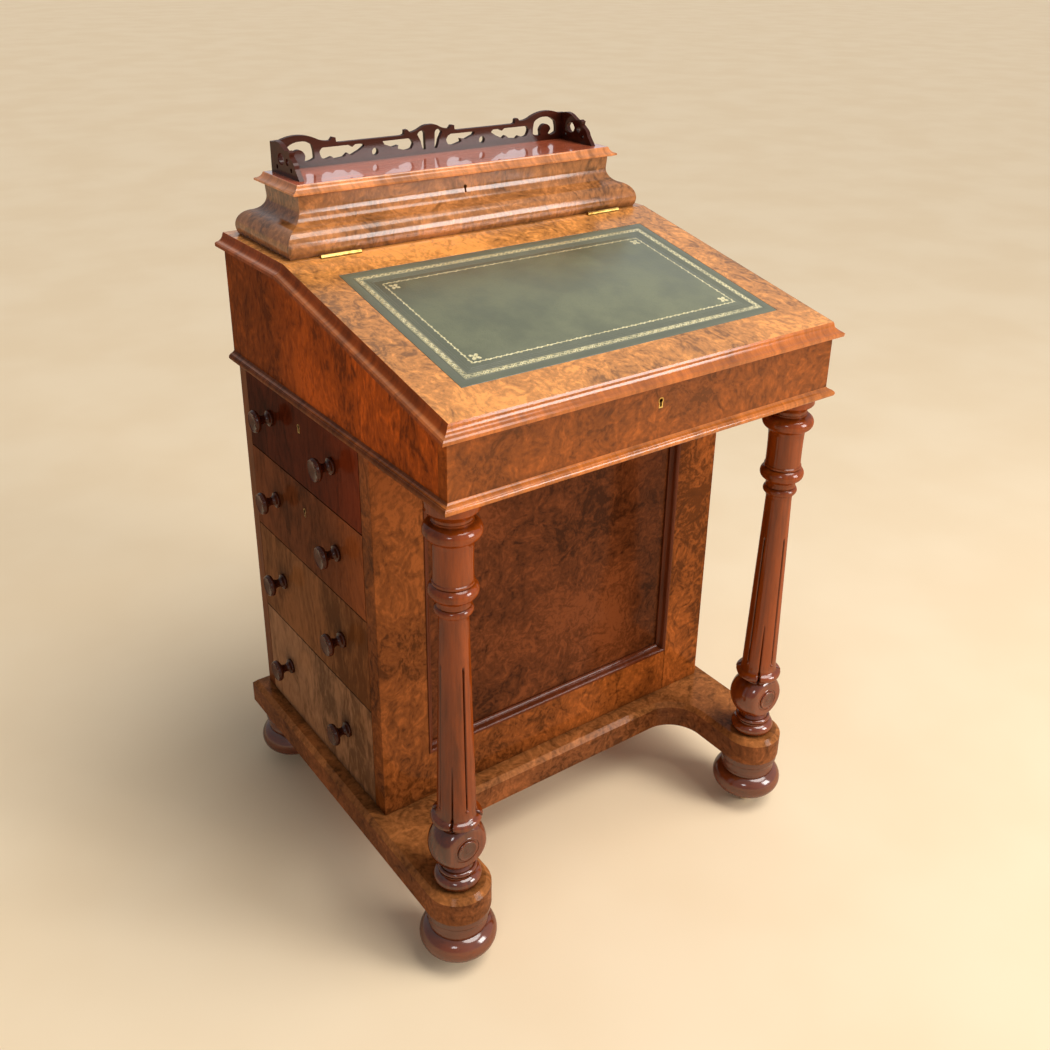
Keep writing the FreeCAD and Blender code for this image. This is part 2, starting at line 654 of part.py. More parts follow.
drawer_lines = ["desk_bottom", "drawer_line_one", "drawer_line_two", "drawer_line_three", "plinth_top"]
locked_drawers = (1, 2)
dummy_fronts, dummy_knobs = [], []
for number, (high, low) in enumerate(zip(drawer_lines, drawer_lines[1:]), start=1):
    name = f"drawer_{number}"
    face_low = f"{low} + drawer_gap / 2"
    face_height = f"{high} - {low} - drawer_gap"
    front = board(name + "_face", ("-case_width / 2", "drawer_low_y", face_low),
                  ("drawer_front_thick", "drawer_width", face_height))
    if number in locked_drawers:
        hole = keyhole(name + "_keyhole", "-case_width / 2 - cut_overrun", "drawer_middle_y",
                       f"{high} - drawer_keyhole_drop", "drawer_front_thick + 2 * cut_overrun", along_y=False)
        front = cut(name + "_face_cut", front, [hole])
    node(name + "_front", front)
    floor = low if low == "plinth_top" else f"{low} + dust_board_thick / 2"
    box_high = f"{high} - dust_board_thick / 2 - drawer_headroom"
    node(name + "_box", group(name + "_box_set", drawer_box(name, f"{floor} + drawer_clear", box_high)))
    knobs = knob_pair(name, "-case_width / 2", low, high, along_minus_x)
    node(name + "_knobs", group(name + "_knob_set", knobs))
    dummy_low = ("case_inner + side_panel_thick", "drawer_low_y", face_low)
    dummy_fronts.append(board(f"dummy_{number}_face", dummy_low,
                              ("drawer_front_thick - side_panel_thick", "drawer_width", face_height)))
    dummy_knobs += knob_pair(f"dummy_{number}", "case_width / 2", low, high, along_plus_x)
node("dummy_drawer_fronts", group("dummy_front_set", dummy_fronts))
node("dummy_drawer_knobs", group("dummy_knob_set", dummy_knobs))

# Desk box

node("desk_floor", board("floor_board", ("-well_half", "rail_y", "desk_bottom"),
                         ("2 * well_half", "desk_back - desk_back_thick - rail_y", "desk_floor_thick")))
node("desk_back_board", board("well_back", ("-well_half", "desk_back - desk_back_thick", "desk_bottom"),
                              ("2 * well_half", "desk_back_thick", "seat_z - desk_bottom")))
cheek_outline = [("rail_y", "desk_bottom", 0), ("desk_back", "desk_bottom", 0), ("desk_back", "seat_z", 0),
                 ("hinge_y", "seat_z", 0), ("hinge_y", "top_z - seat_drop", 0), ("rail_y", "rail_back_z", 0)]
cheeks = []
for side, x in (("left", "-desk_width / 2"), ("right", "well_half")):
    cheeks.append(place(padded(side + "_cheek", "YZ_Plane", [cheek_outline], "cheek_thick"), x))
node("desk_cheeks", group("cheek_set", cheeks))

rail_outline = [("desk_front", "desk_bottom", 0), ("rail_y", "desk_bottom", 0), ("rail_y", "rail_back_z", 0),
                ("desk_front", "rail_front_z", 0)]
rail = padded("rail_blank", "YZ_Plane", [rail_outline], "desk_width", symmetric=True)
keyhole_z = "rail_front_z - keyhole_drop"
through = ("0", "desk_front - cut_overrun", keyhole_z, "front_rail_thick + 2 * cut_overrun")
inlay = ("0", "desk_front", keyhole_z, "escutcheon_depth", "escutcheon_thread")
rail_holes = [keyhole("rail_keyhole", *through), keyhole("inlay_room", *inlay)]
node("desk_front_rail", cut("rail_cut", rail, rail_holes))
node("desk_escutcheon", cut("inlay_cut", keyhole("inlay_blank", *inlay), [keyhole("inlay_keyhole", *through)]))

lower_points = scaled(lower_shares, "lower_moulding_reach", "lower_moulding_height")
sides = [("front", "desk_width", "0", "desk_front", 180, (True, True)),
         ("right", "desk_depth", "desk_width / 2", "(desk_front + desk_back) / 2", -90, (False, True)),
         ("left", "desk_depth", "-desk_width / 2", "(desk_front + desk_back) / 2", 90, (True, False))]
lengths = []
for side, span, x, y, degrees, mitres in sides:
    length = strip("lower_" + side, lower_points, span, "lower_moulding_reach", mitres=mitres)
    lengths.append(place(length, x, y, "desk_bottom", about_z(degrees)))
node("desk_lower_moulding", group("lower_moulding_set", lengths))

# Hinges


def butt_hinge(name, x, y, z, length, upright):
    """A three-knuckle butt hinge along X: its two leaves and pin, and the room for each leaf in the wood."""
    gap = "lid_joint_gap" if upright else "box_rest_gap"
    start_x = f"{x} - ({length}) / 2"
    third = f"({length}) / 3"

    def plate(part, sign, spare="0"):
        start = f"{gap} / 2" if sign > 0 else f"-{gap} / 2 - leaf_thick"
        if upright:
            return board(f"{name}_{part}", (start_x, f"{y} + {start}", f"{z} - leaf_width"),
                         (length, "leaf_thick", f"leaf_width + {spare}"))
        return board(f"{name}_{part}", (start_x, f"{y} - leaf_width", f"{z} + {start}"),
                     (length, f"leaf_width + {spare}", "leaf_thick"))

    def barrel(part, radius, start="0", run=length):
        return rod(f"{name}_{part}", radius, run, (f"{start_x} + {start}", y, z), along_plus_x)

    def leaf(part, sign, own, others):
        spaces = [barrel(f"{part}_space_{step}", "knuckle_radius + knuckle_gap", start, run)
                  for step, (start, run) in enumerate(others)]
        knuckles = [barrel(f"{part}_knuckle_{step}", "knuckle_radius", start, run)
                    for step, (start, run) in enumerate(own)]
        blank = cut(f"{name}_{part}_notch", plate(part + "_plate", sign), spaces)
        bore = barrel(part + "_bore", "hinge_pin_radius + running_clear")
        return cut(f"{name}_{part}_leaf", fuse(f"{name}_{part}_whole", [blank] + knuckles), [bore])

    def room(part, sign):
        scoop = barrel(part + "_scoop", "knuckle_radius + knuckle_clear")
        return fuse(f"{name}_{part}_room", [plate(part + "_mortise", sign, "cut_overrun"), scoop])

    fixed_sign = 1 if upright else -1
    outer = [("0", f"{third} - knuckle_gap"), (f"2 * {third} + knuckle_gap", f"{third} - knuckle_gap")]
    middle_space = [(f"{third} - knuckle_gap", f"{third} + 2 * knuckle_gap")]
    return {
        "fixed": leaf("fixed", fixed_sign, outer, middle_space),
        "moving": leaf("moving", -fixed_sign, [(third, third)], [("0", third), (f"2 * {third}", third)]),
        "pin": barrel("pin", "hinge_pin_radius"),
        "fixed_room": room("fixed", fixed_sign),
        "moving_room": room("moving", -fixed_sign),
    }


lid_hinges, box_hinges = [], []
for side, sign in both_sides:
    lid_hinges.append(butt_hinge(side + "_lid_hinge", f"{sign} * hinge_spread / 2", "hinge_y", "hinge_z",
                                 "hinge_length", True))
    box_hinges.append(butt_hinge(side + "_box_hinge", f"{sign} * box_hinge_spread / 2", "box_hinge_y",
                                 "box_hinge_z", "box_hinge_length", False))
node("hinge_fixed_leaves", group("fixed_leaf_set", [hinge["fixed"] for hinge in lid_hinges + box_hinges]))
node("hinge_pins", group("pin_set", [hinge["pin"] for hinge in lid_hinges + box_hinges]))
node("lid_hinge_leaves", group("lid_leaf_set", [hinge["moving"] for hinge in lid_hinges]))
node("box_lid_hinge_leaves", group("box_leaf_set", [hinge["moving"] for hinge in box_hinges]))

# Fixed top and writing lid

fixed_front = "hinge_y + lid_joint_gap / 2"
fixed_depth = "fixed_top_depth - lid_joint_gap / 2"
fixed_blank = board("fixed_top_blank", ("-top_width / 2", fixed_front, "seat_z"),
                    ("top_width", fixed_depth, "top_thick"))
node("fixed_top", cut("fixed_top_cut", fixed_blank, [hinge["fixed_room"] for hinge in lid_hinges]))
edge_points = scaled(edge_shares, "edge_moulding_reach", "top_thick")
lengths = []
for side, sign in both_sides:
    length = strip(f"fixed_{side}_edge", edge_points, fixed_depth, "edge_moulding_reach", mitres=(False, False))
    lengths.append(place(length, f"{sign} * top_width / 2", f"{fixed_front} + ({fixed_depth}) / 2", "top_z",
                         about_z(-90 * sign)))
node("fixed_top_moulding", group("fixed_edge_set", lengths))


def on_slope(name, members):
    """Pieces placed from the hinge line along the level, tilted onto the lid's slope."""
    tilted = group(name, members)
    place(tilted, "0", "hinge_y", "top_z", FreeCAD.Rotation(FreeCAD.Vector(1, 0, 0), value("lid_slope")))
    bind(tilted, "Placement.Rotation.Angle", "lid_slope")
    return tilted


def behind_joint(name):
    """Everything behind the joint between lid and fixed top."""
    return board(name, ("-desk_width", "hinge_y - lid_joint_gap / 2", "desk_bottom"),
                 ("2 * desk_width", "fixed_top_depth", "2 * desk_back_height"))


def leather_sheet(name, height):
    sheet_board = board(name, ("-leather_width / 2", "leather_margin - lid_length", "-leather_thick"),
                        ("leather_width", "leather_length", height))
    return on_slope(name + "_tilted", [sheet_board])


lid_blank = board("lid_blank", ("-top_width / 2", "-lid_length", "-top_thick"),
                  ("top_width", "lid_length", "top_thick"))
lid_tools = [behind_joint("lid_end"), leather_sheet("leather_recess", "leather_thick + cut_overrun")]
lid_tools += [hinge["moving_room"] for hinge in lid_hinges]
node("lid_board", cut("lid_cut", on_slope("lid_blank_tilted", [lid_blank]), lid_tools))
node("writing_leather", leather_sheet("leather_board", "leather_thick"))
sides = [("front", "top_width", "0", "-lid_length", 180, (True, True)),
         ("right", "lid_length", "top_width / 2", "-lid_length / 2", -90, (False, True)),
         ("left", "lid_length", "-top_width / 2", "-lid_length / 2", 90, (True, False))]
lengths = []
for side, span, x, y, degrees, mitres in sides:
    length = strip(f"lid_{side}_edge", edge_points, span, "edge_moulding_reach", mitres=mitres)
    lengths.append(place(length, x, y, "0", about_z(degrees)))
node("lid_moulding", cut("lid_edge_cut", on_slope("lid_edge_set", lengths), [behind_joint("lid_edge_end")]))

# Stationery box

wall_points = scaled(ogee_shares, "ogee_inset", "box_height")
wall_points += [("-box_wall", "box_height", 0), ("-box_wall", "0", 0)]
walls = {}
for side, span, x, y, degrees in (("front", "box_width", "0", "box_front", 180),
                                  ("back", "box_width", "0", "box_back", 0),
                                  ("right", "box_depth", "box_width / 2", "box_middle", -90),
                                  ("left", "box_depth", "-box_width / 2", "box_middle", 90)):
    wall = strip(f"box_{side}_wall", wall_points, span, "ogee_inset", "box_wall + cut_overrun")
    walls[side] = place(wall, x, y, "top_z", about_z(degrees))
box_keyhole = keyhole("box_keyhole", "0", "box_front - cut_overrun", "box_top - box_keyhole_drop",
                      "box_wall + 2 * cut_overrun")
node("box_front", cut("box_front_cut", walls["front"], [box_keyhole]))
node("box_back", cut("box_back_cut", walls["back"], [hinge["fixed_room"] for hinge in box_hinges]))
node("box_ends", group("box_end_set", [walls["left"], walls["right"]]))
dividers = []
for side, sign in both_sides:
    divider_low = (f"{sign} * divider_spread / 2 - divider_thick / 2", "box_front + box_wall", "top_z")
    dividers.append(board(side + "_divider", divider_low,
                          ("divider_thick", "box_depth - 2 * box_wall", "divider_height")))
node("box_dividers", group("divider_set", dividers))

box_lid_blank = board("box_lid_blank", ("-box_lid_span / 2", "box_front + box_lid_inset", "box_lid_z"),
                      ("box_lid_span", "box_lid_depth", "box_lid_thick"))
moving_rooms = [hinge["moving_room"] for hinge in box_hinges]
node("box_lid_board", cut("box_lid_cut", box_lid_blank, moving_rooms))
box_edge_points = scaled(box_edge_shares, "box_moulding_reach", "box_lid_thick")
edges = {}
for side, span, x, y, degrees in (("front", "box_lid_span", "0", "box_front + box_lid_inset", 180),
                                  ("back", "box_lid_span", "0", "box_back - box_lid_inset", 0),
                                  ("right", "box_lid_depth", "box_lid_span / 2", "box_middle", -90),
                                  ("left", "box_lid_depth", "-box_lid_span / 2", "box_middle", 90)):
    edge = strip(f"box_lid_{side}_edge", box_edge_points, span, "box_moulding_reach")
    edges[side] = place(edge, x, y, "gallery_z", about_z(degrees))
edges["back"] = cut("box_edge_cut", edges["back"], moving_rooms)
node("box_lid_moulding", group("box_edge_set", list(edges.values())))

# Gallery


def mirrored(points):
    """A loop on the other side of the middle, each bulge moved to where its stretch now starts."""
    bulges = [bulge for x, y, bulge in points]
    return [(-x, y, bulge) for (x, y, _), bulge in zip(points[::-1], bulges[-2::-1] + bulges[-1:])]


def fret_board(name, role, outline, holes, across):
    """A thin board sawn to an outline and pierced by holes."""
    body = padded(name, role, [scaled(outline, across, "gallery_height")], "gallery_thick")
    for number, hole in enumerate(holes, start=1):
        pierce(body, role, [scaled(hole, across, "gallery_height")], f"{name}_hole_{number}")
    return body


half_top = gallery_top_shares
back_outline = [(-1.0, 0.0, 0)] + mirrored(half_top)[:-1] + half_top + [(1.0, 0.0, 0)]
back_holes = gallery_hole_shares + [mirrored(hole) for hole in gallery_hole_shares]
back_fret = fret_board("gallery_back_fret", "XZ_Plane", back_outline, back_holes, "gallery_width / 2")
node("gallery_back", place(back_fret, "0", "gallery_back", "gallery_z"))

ends = []
for side, x in (("left", "-gallery_width / 2"), ("right", "gallery_width / 2 - gallery_thick")):
    fret = fret_board(f"gallery_{side}_fret", "YZ_Plane", gallery_end_shares, gallery_end_hole_shares,
                      "gallery_thick - gallery_depth")
    ends.append(place(fret, x, "gallery_back - gallery_thick", "gallery_z"))
node("gallery_ends", group("gallery_end_set", ends))

# Locks behind the keyholes

desk_lock = board("desk_lock", ("-lock_width / 2", "rail_y", "rail_front_z - lock_drop - lock_height"),
                  ("lock_width", "lock_thick", "lock_height"))
box_lock = board("box_lock",
                 ("-box_lock_width / 2", "box_front + box_wall", "box_top - lock_drop - box_lock_height"),
                 ("box_lock_width", "box_lock_thick", "box_lock_height"))
node("locks", group("lock_set", [desk_lock, box_lock]))

doc.recompute()

failed = [item.Label for item in doc.Objects if "Invalid" in item.State or "Error" in item.State]
failed += [name for name, item in nodes.items() if item.Shape.isNull() or not item.Shape.isValid()]
if failed:
    raise RuntimeError("not built: " + ", ".join(failed))

os.makedirs("parts", exist_ok=True)
for name, item in nodes.items():
    item.Shape.exportStep(os.path.join("parts", name + ".step"))
    print(name, len(item.Shape.Solids))
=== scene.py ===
import math

import bmesh
import bpy
from mathutils import Matrix, Vector


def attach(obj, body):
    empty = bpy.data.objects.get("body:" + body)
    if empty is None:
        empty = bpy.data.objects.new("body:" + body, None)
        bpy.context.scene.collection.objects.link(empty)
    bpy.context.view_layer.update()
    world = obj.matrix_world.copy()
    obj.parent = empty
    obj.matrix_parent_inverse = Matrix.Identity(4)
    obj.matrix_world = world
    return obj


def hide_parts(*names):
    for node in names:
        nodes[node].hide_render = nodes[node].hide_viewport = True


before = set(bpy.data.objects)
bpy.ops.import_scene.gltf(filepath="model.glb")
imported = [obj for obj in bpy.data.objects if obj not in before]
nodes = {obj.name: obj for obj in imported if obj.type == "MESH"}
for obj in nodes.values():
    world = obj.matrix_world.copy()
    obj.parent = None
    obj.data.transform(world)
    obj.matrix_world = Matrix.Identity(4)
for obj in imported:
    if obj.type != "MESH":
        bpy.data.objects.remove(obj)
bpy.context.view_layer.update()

mm = 0.001
weldGap = 0.00002  # points closer than this are one
print("frame loaded:", len(nodes), "nodes")


# shader kit

class Wire:
    # a socket of a shader tree, so that maths on it reads as plain sums
    def __init__(self, finish, socket):
        self.finish = finish
        self.socket = socket

    def maths(self, operation, *others):
        return self.finish.node("ShaderNodeMath", {"operation": operation}, dict(enumerate((self, *others))))

    def __add__(self, other):
        return self.maths("ADD", other)

    def __sub__(self, other):
        return self.maths("SUBTRACT", other)

    def __rsub__(self, other):
        return self.finish.node("ShaderNodeMath", {"operation": "SUBTRACT"}, {0: other, 1: self})

    def __mul__(self, other):
        return self.maths("MULTIPLY", other)

    __radd__ = __add__
    __rmul__ = __mul__


class Finish:
    # one material and its node tree
    def __init__(self, name):
        self.material = bpy.data.materials.new(name)
        self.material.use_nodes = True
        self.tree = self.material.node_tree
        self.tree.nodes.clear()

    def node(self, kind, settings, inputs, out=0):
        made = self.tree.nodes.new(kind)
        for key, setting in settings.items():
            if key == "stops":
                stops = made.color_ramp.elements
                stops.remove(stops[1])
                stops[0].position, stops[0].color = setting[0]
                for spot, colour in setting[1:]:
                    stops.new(spot).color = colour
            else:
                setattr(made, key, setting)
        for key, given in inputs.items():
            if isinstance(given, Wire):
                self.tree.links.new(given.socket, made.inputs[key])
            else:
                made.inputs[key].default_value = given
        return Wire(self, made.outputs[out])

    def noise(self, spot, scale, detail=2.0, roughness=0.5, distortion=0.0, out=0):
        return self.node("ShaderNodeTexNoise", {}, {"Vector": spot, "Scale": scale, "Detail": detail,
                                                    "Roughness": roughness, "Distortion": distortion}, out)

    def ramp(self, value, stops):
        return self.node("ShaderNodeValToRGB", {"stops": stops}, {0: value})

    def step(self, value, low, high):
        return self.node("ShaderNodeMapRange", {"interpolation_type": "SMOOTHSTEP"},
                         {"Value": value, "From Min": low, "From Max": high})

    def blend(self, under, over, share, way="MIX"):
        return self.node("ShaderNodeMix", {"data_type": "RGBA", "blend_type": way}, {0: share, 6: under, 7: over}, 2)

    def axes(self, spot):
        split = self.node("ShaderNodeSeparateXYZ", {}, {0: spot}).socket.node
        return [Wire(self, socket) for socket in split.outputs]

    def bump(self, height, distance, strength=1.0):
        return self.node("ShaderNodeBump", {}, {"Height": height, "Distance": distance, "Strength": strength})

    def close(self, sockets):
        shader = self.node("ShaderNodeBsdfPrincipled", {}, sockets)
        end = self.tree.nodes.new("ShaderNodeOutputMaterial")
        self.tree.links.new(shader.socket, end.inputs["Surface"])
        return self.material


def tone(red, green, blue):
    # a colour as it reads on screen, made linear
    def line(part):
        part = part / 255
        return part / 12.92 if part <= 0.04045 else ((part + 0.055) / 1.055) ** 2.4
    return (line(red), line(green), line(blue), 1.0)


# wood finishes

def edgeWise(finish, place, corner):
    # swaps the two level axes on the strips that run front to back, up to their mitres
    x, y, z = finish.axes(place)
    out = x.maths("ABSOLUTE") - corner["halfWidth"]
    front = corner["front"] - y
    back = y - corner["back"]
    side = (out - front.maths("MAXIMUM", back)).maths("GREATER_THAN", 0.0)
    return finish.node("ShaderNodeCombineXYZ", {}, {0: x + (y - x) * side, 1: y + (x - y) * side, 2: z})


def shade(colour, share):
    # one wood, darker or paler
    return tuple(part * share for part in colour[:3]) + (1.0,)


grainLook = {
    "patchShare": 0.40, "figureShare": 0.42, "mottleShare": 0.18, "middle": 0.50, "innerShare": 0.3, "deep": 0.87,
    "pale": 1.14, "breakShare": 0.9, "breaks": (0.48, 0.60), "ringLine": (0.72, 1.0), "eyeSize": (0.04, 0.24),
    "eyeChoice": (0.68, 0.80), "dense": (0.40, 0.56), "denseShare": 0.7, "pores": (0.30, 0.46), "cutShare": 0.85,
    "arris": 0.0016, "arrisTurn": (0.05, 0.30), "endTurn": (0.35, 0.65), "endMatt": 0.75, "wallTurn": (0.3, 0.6),
    "smearScale": 16.0, "smearRough": 0.16, "poreRough": 0.10, "waveScale": 9.0, "waveDepth": 0.0016,
    "fineStrength": 0.6, "samples": 4,
}


def walnut(look, grain=grainLook):
    finish = Finish(look["name"])
    mean = look["mean"]
    line, dirt = shade(mean, look["lineShare"]), shade(mean, look["dirtShare"])
    place = finish.node("ShaderNodeTexCoord", {}, {}, 3)
    if "corner" in look:
        place = edgeWise(finish, place, look["corner"])
    spot = finish.node("ShaderNodeMapping", {}, {"Vector": place, "Location": look["shift"],
                                                 "Rotation": [math.radians(a) for a in look["turn"]],
                                                 "Scale": look["stretch"]})
    sway = finish.noise(spot, look["swayScale"], 2.0, out=1)
    push = (look["sway"],) * 3
    pushed = finish.node("ShaderNodeVectorMath", {"operation": "MULTIPLY_ADD"}, {0: sway, 1: push, 2: spot})
    patch = finish.noise(pushed, look["patchScale"], 3.0)
    figure = finish.noise(pushed, look["figureScale"], 5.0, 0.6, look["curl"])
    mottle = finish.noise(pushed, look["mottleScale"], 2.0)
    depth = patch * grain["patchShare"] + figure * grain["figureShare"] + mottle * grain["mottleShare"]
    middle, wide = grain["middle"], look["contrast"]
    inner = wide * grain["innerShare"]
    stops = ((middle - wide, look["low"]), (middle - inner, grain["deep"]),
             (middle + inner, grain["pale"]), (middle + wide, look["high"]))
    tint = finish.ramp(depth, [(at, shade(mean, share)) for at, share in stops])

    # a leaf of veneer that turns darker or paler towards one end; on the upper drawer fronts it lifts their painted
    # shade towards the front end
    if "drift" in look:
        drift = look["drift"]
        reach = finish.axes(place)[drift["axis"]] + (figure - 0.5) * drift["wander"]
        drifted = finish.step(reach, drift["start"], drift["end"])
        tint = finish.blend(tint, drift["tint"], drifted, "MULTIPLY")

    # thin growth lines that wind round the figure, in places
    eddy = finish.noise(pushed, look["ringScale"], 1.0)
    ring = (eddy * look["rings"]).maths("SINE")
    broken = finish.step(finish.noise(spot, look["ringScale"] * grain["breakShare"], 2.0), *grain["breaks"])
    tint = finish.blend(tint, line, finish.step(ring, *grain["ringLine"]) * broken * look["ringDepth"])

    # small dark eyes of the burr, only where the figure is dense
    if look["eyes"] > 0:
        cell = finish.node("ShaderNodeTexVoronoi", {}, {"Vector": pushed, "Scale": look["eyeScale"]}).socket.node
        near = 1 - finish.step(Wire(finish, cell.outputs["Distance"]), *grain["eyeSize"])
        chosen = finish.step(finish.axes(Wire(finish, cell.outputs["Color"]))[0], *grain["eyeChoice"])
        dense = finish.step(patch, *grain["dense"])
        tint = finish.blend(tint, line, near * chosen * (1 - dense * grain["denseShare"]) * look["eyes"])

    # open pores drawn out along the grain
    poreSpot = finish.node("ShaderNodeMapping", {}, {"Vector": spot, "Scale": look["poreStretch"]})
    pores = finish.noise(poreSpot, look["poreScale"], 3.0, 0.6)
    dark = 1 - finish.step(pores, *grain["pores"])
    tint = finish.blend(tint, line, dark * look["poreDepth"])

    # old polish and painted shade: dark in the quirks, carved cuts and gaps between parts, where the occlusion falls;
    # paler on the arrises, as rubbed wear with a painted highlight
    cuts = finish.node("ShaderNodeAttribute", {"attribute_name": "dirt"}, {}, 2)
    tint = finish.blend(tint, dirt, cuts * grain["cutShare"])
    # painted shade: darker wherever nearby surfaces hem the point in
    clear = finish.node("ShaderNodeAmbientOcclusion", {"samples": grain["samples"]}, {"Distance": look["quirk"]}, 1)
    tint = finish.blend(tint, dirt, (1 - clear) * look["dirtDepth"])
    # paler on the arrises: rubbed wear together with a painted highlight along the edges
    if look["rub"] > 0:
        soft = finish.node("ShaderNodeBevel", {"samples": grain["samples"]}, {"Radius": grain["arris"]})
        plain = finish.node("ShaderNodeNewGeometry", {}, {}, 1)
        facing = finish.node("ShaderNodeVectorMath", {"operation": "DOT_PRODUCT"}, {0: soft, 1: plain}, 1)
        rubbed = finish.step(1 - facing, *grain["arrisTurn"]) * clear
        tint = finish.blend(tint, shade(mean, look["high"]), rubbed * look["rub"])

    coat = look["coat"]
    if "drift" in look and "coat" in look["drift"]:
        coat = drifted * (look["drift"]["coat"] - coat) + coat
    # painted shade: on the mouldings the faces turned sideways are painted darker, as the drawer side stands in
    # shade; on the rail this tint only matches the side veneer
    if "endTint" in look:  # where a board's end shows in the side veneer, it takes that veneer's colour
        across = finish.axes(finish.node("ShaderNodeNewGeometry", {}, {}, 3))[0].maths("ABSOLUTE")
        end = finish.step(across, *grain["endTurn"])
        tint = finish.blend(tint, look["endTint"], end, "MULTIPLY")
        coat = (1 - end * grain["endMatt"]) * coat
    # painted shade: the upright faces of the slab are painted darker than its top, as they stand in shade
    if "wallTint" in look:  # upright faces of a slab are darker than its top
        level = finish.axes(finish.node("ShaderNodeNewGeometry", {}, {}, 3))[2].maths("ABSOLUTE")
        tint = finish.blend(tint, look["wallTint"], 1 - finish.step(level, *grain["wallTurn"]), "MULTIPLY")
    smear = finish.noise(place, grain["smearScale"], 3.0)
    rough = look["rough"] + (smear - 0.5) * grain["smearRough"] + dark * grain["poreRough"]
    height = pores * 0.5 + figure * 0.5
    wavy = finish.bump(finish.noise(place, grain["waveScale"], 1.0), grain["waveDepth"])
    fine = finish.node("ShaderNodeBump", {}, {"Height": height, "Distance": look["relief"], "Normal": wavy,
                                              "Strength": grain["fineStrength"]})
    return finish.close({"Base Color": tint, "Roughness": rough, "Normal": fine, "Specular IOR Level": look["gloss"],
                         "Coat Weight": coat, "Coat Roughness": look["coatRough"], "Coat IOR": look["coatIor"]})


burrLook = {
    "shift": (0.0, 0.0, 0.0), "turn": (0, 0, 0), "stretch": (1.0, 1.0, 1.0),
    "swayScale": 11.0, "sway": 0.045, "patchScale": 8.0, "figureScale": 62.0, "mottleScale": 230.0, "curl": 1.3,
    "contrast": 0.092, "low": 0.42, "high": 1.68, "lineShare": 0.28, "dirtShare": 0.16,
    "ringScale": 12.0, "rings": 55.0, "ringDepth": 0.22, "eyes": 0.6, "eyeScale": 62.0,
    "poreStretch": (1.0, 1.0, 0.4), "poreScale": 620.0, "poreDepth": 0.22, "quirk": 0.010, "dirtDepth": 0.75,
    "rub": 0.2, "rough": 0.32, "relief": 0.0002, "coat": 0.2, "coatRough": 0.12, "coatIor": 1.5, "gloss": 0.0,
}


def burr(name, **changes):
    return walnut({**burrLook, "name": name, **changes})


straightLook = {
    **burrLook, "stretch": (0.12, 1.0, 1.0), "sway": 0.02, "swayScale": 6.0,
    "patchScale": 14.0, "figureScale": 60.0, "curl": 0.4, "contrast": 0.17, "low": 0.6, "high": 1.45, "rings": 40.0,
    "ringDepth": 0.22, "eyes": 0.0, "poreStretch": (0.5, 1.0, 1.0), "poreScale": 700.0, "poreDepth": 0.26,
}


def straight(name, **changes):
    return walnut({**straightLook, "name": name, **changes})


def crossBanded(name, **changes):
    # moulding veneer with its grain across the strip
    return straight(name, stretch=(1.0, 0.22, 0.22), patchScale=20.0, figureScale=70.0, curl=0.8, contrast=0.11,
                    poreStretch=(1.0, 0.5, 0.5), **changes)


# the lid and the fixed top are painted paler than the other burr, as sheen on the tops
lidFinish = burr("lidBurr", shift=(0.31, 0.12, 0.0), stretch=(1.0, 0.8, 1.0), rub=0.1, coat=1.0, coatRough=0.22,
                 mean=tone(206, 134, 65))
railFinish = burr("railBurr", shift=(0.72, 0.0, 0.4), coat=0.4, contrast=0.10, low=0.5, patchScale=12.0,
                  endTint=(1.12, 0.95, 0.7, 1.0), mean=tone(133, 68, 23))
cheekFinish = burr("cheekBurr", shift=(0.0, 0.52, 0.17), stretch=(1.0, 1.0, 0.55), turn=(20, 0, 0), coat=0.1,
                   contrast=0.085, low=0.42, patchScale=10.0,
                   drift={"axis": 1, "wander": 0.35, "start": -0.06, "end": 0.24, "tint": (0.50, 0.58, 0.85, 1.0)},
                   mean=tone(165, 73, 17))
panelFinish = burr("panelBurr", shift=(1.3, 0.0, 0.6), mean=tone(93, 47, 22), eyes=0.8, coat=0.15)
stileFinish = burr("stileBurr", shift=(0.2, 0.9, 1.1), stretch=(1.0, 1.0, 0.8), coat=0.15, ringDepth=0.40,
                   drift={"axis": 0, "wander": 0.1, "start": -0.2, "end": 0.2, "tint": (1.38, 1.28, 1.05, 1.0)},
                   mean=tone(120, 64, 27))
boxFinish = burr("boxBurr", shift=(2.2, 0.4, 0.3), coat=0.9, stretch=(1.0, 1.0, 0.7), mean=tone(161, 103, 56))
plinthFinish = burr("plinthBurr", shift=(0.6, 1.7, 0.2), contrast=0.10, low=0.45, patchScale=12.0,
                    wallTint=(0.62, 0.55, 0.60, 1.0), mean=tone(149, 91, 47))

# the drawer fronts are painted darker towards the top, as shade under the overhang, going to a browner, plainer
# veneer at the bottom
drawerTones = {1: tone(77, 31, 16), 2: tone(106, 58, 33), 3: tone(127, 81, 49), 4: tone(147, 105, 75)}
drawerEnds = {1: (2.3, 2.0, 1.5, 1.0), 2: (1.9, 1.7, 1.3, 1.0), 3: (1.25, 1.1, 0.95, 1.0), 4: (1.0, 0.95, 0.9, 1.0)}
drawerFinishes = {
    number: burr(f"drawer{number}Walnut", shift=(0.0, 2.1 + number * 0.37, 0.8), stretch=(1.0, 1.0, 0.34),
                 turn=(14, 0, 0), patchScale=5.0, figureScale=40.0, ringDepth=0.25, eyes=0.35, coat=0.08, high=1.35,
                 low=0.5, drift={"axis": 1, "wander": 0.25, "start": 0.05, "end": -0.075, "tint": drawerEnds[number]},
                 mean=mean)
    for number, mean in drawerTones.items()
}
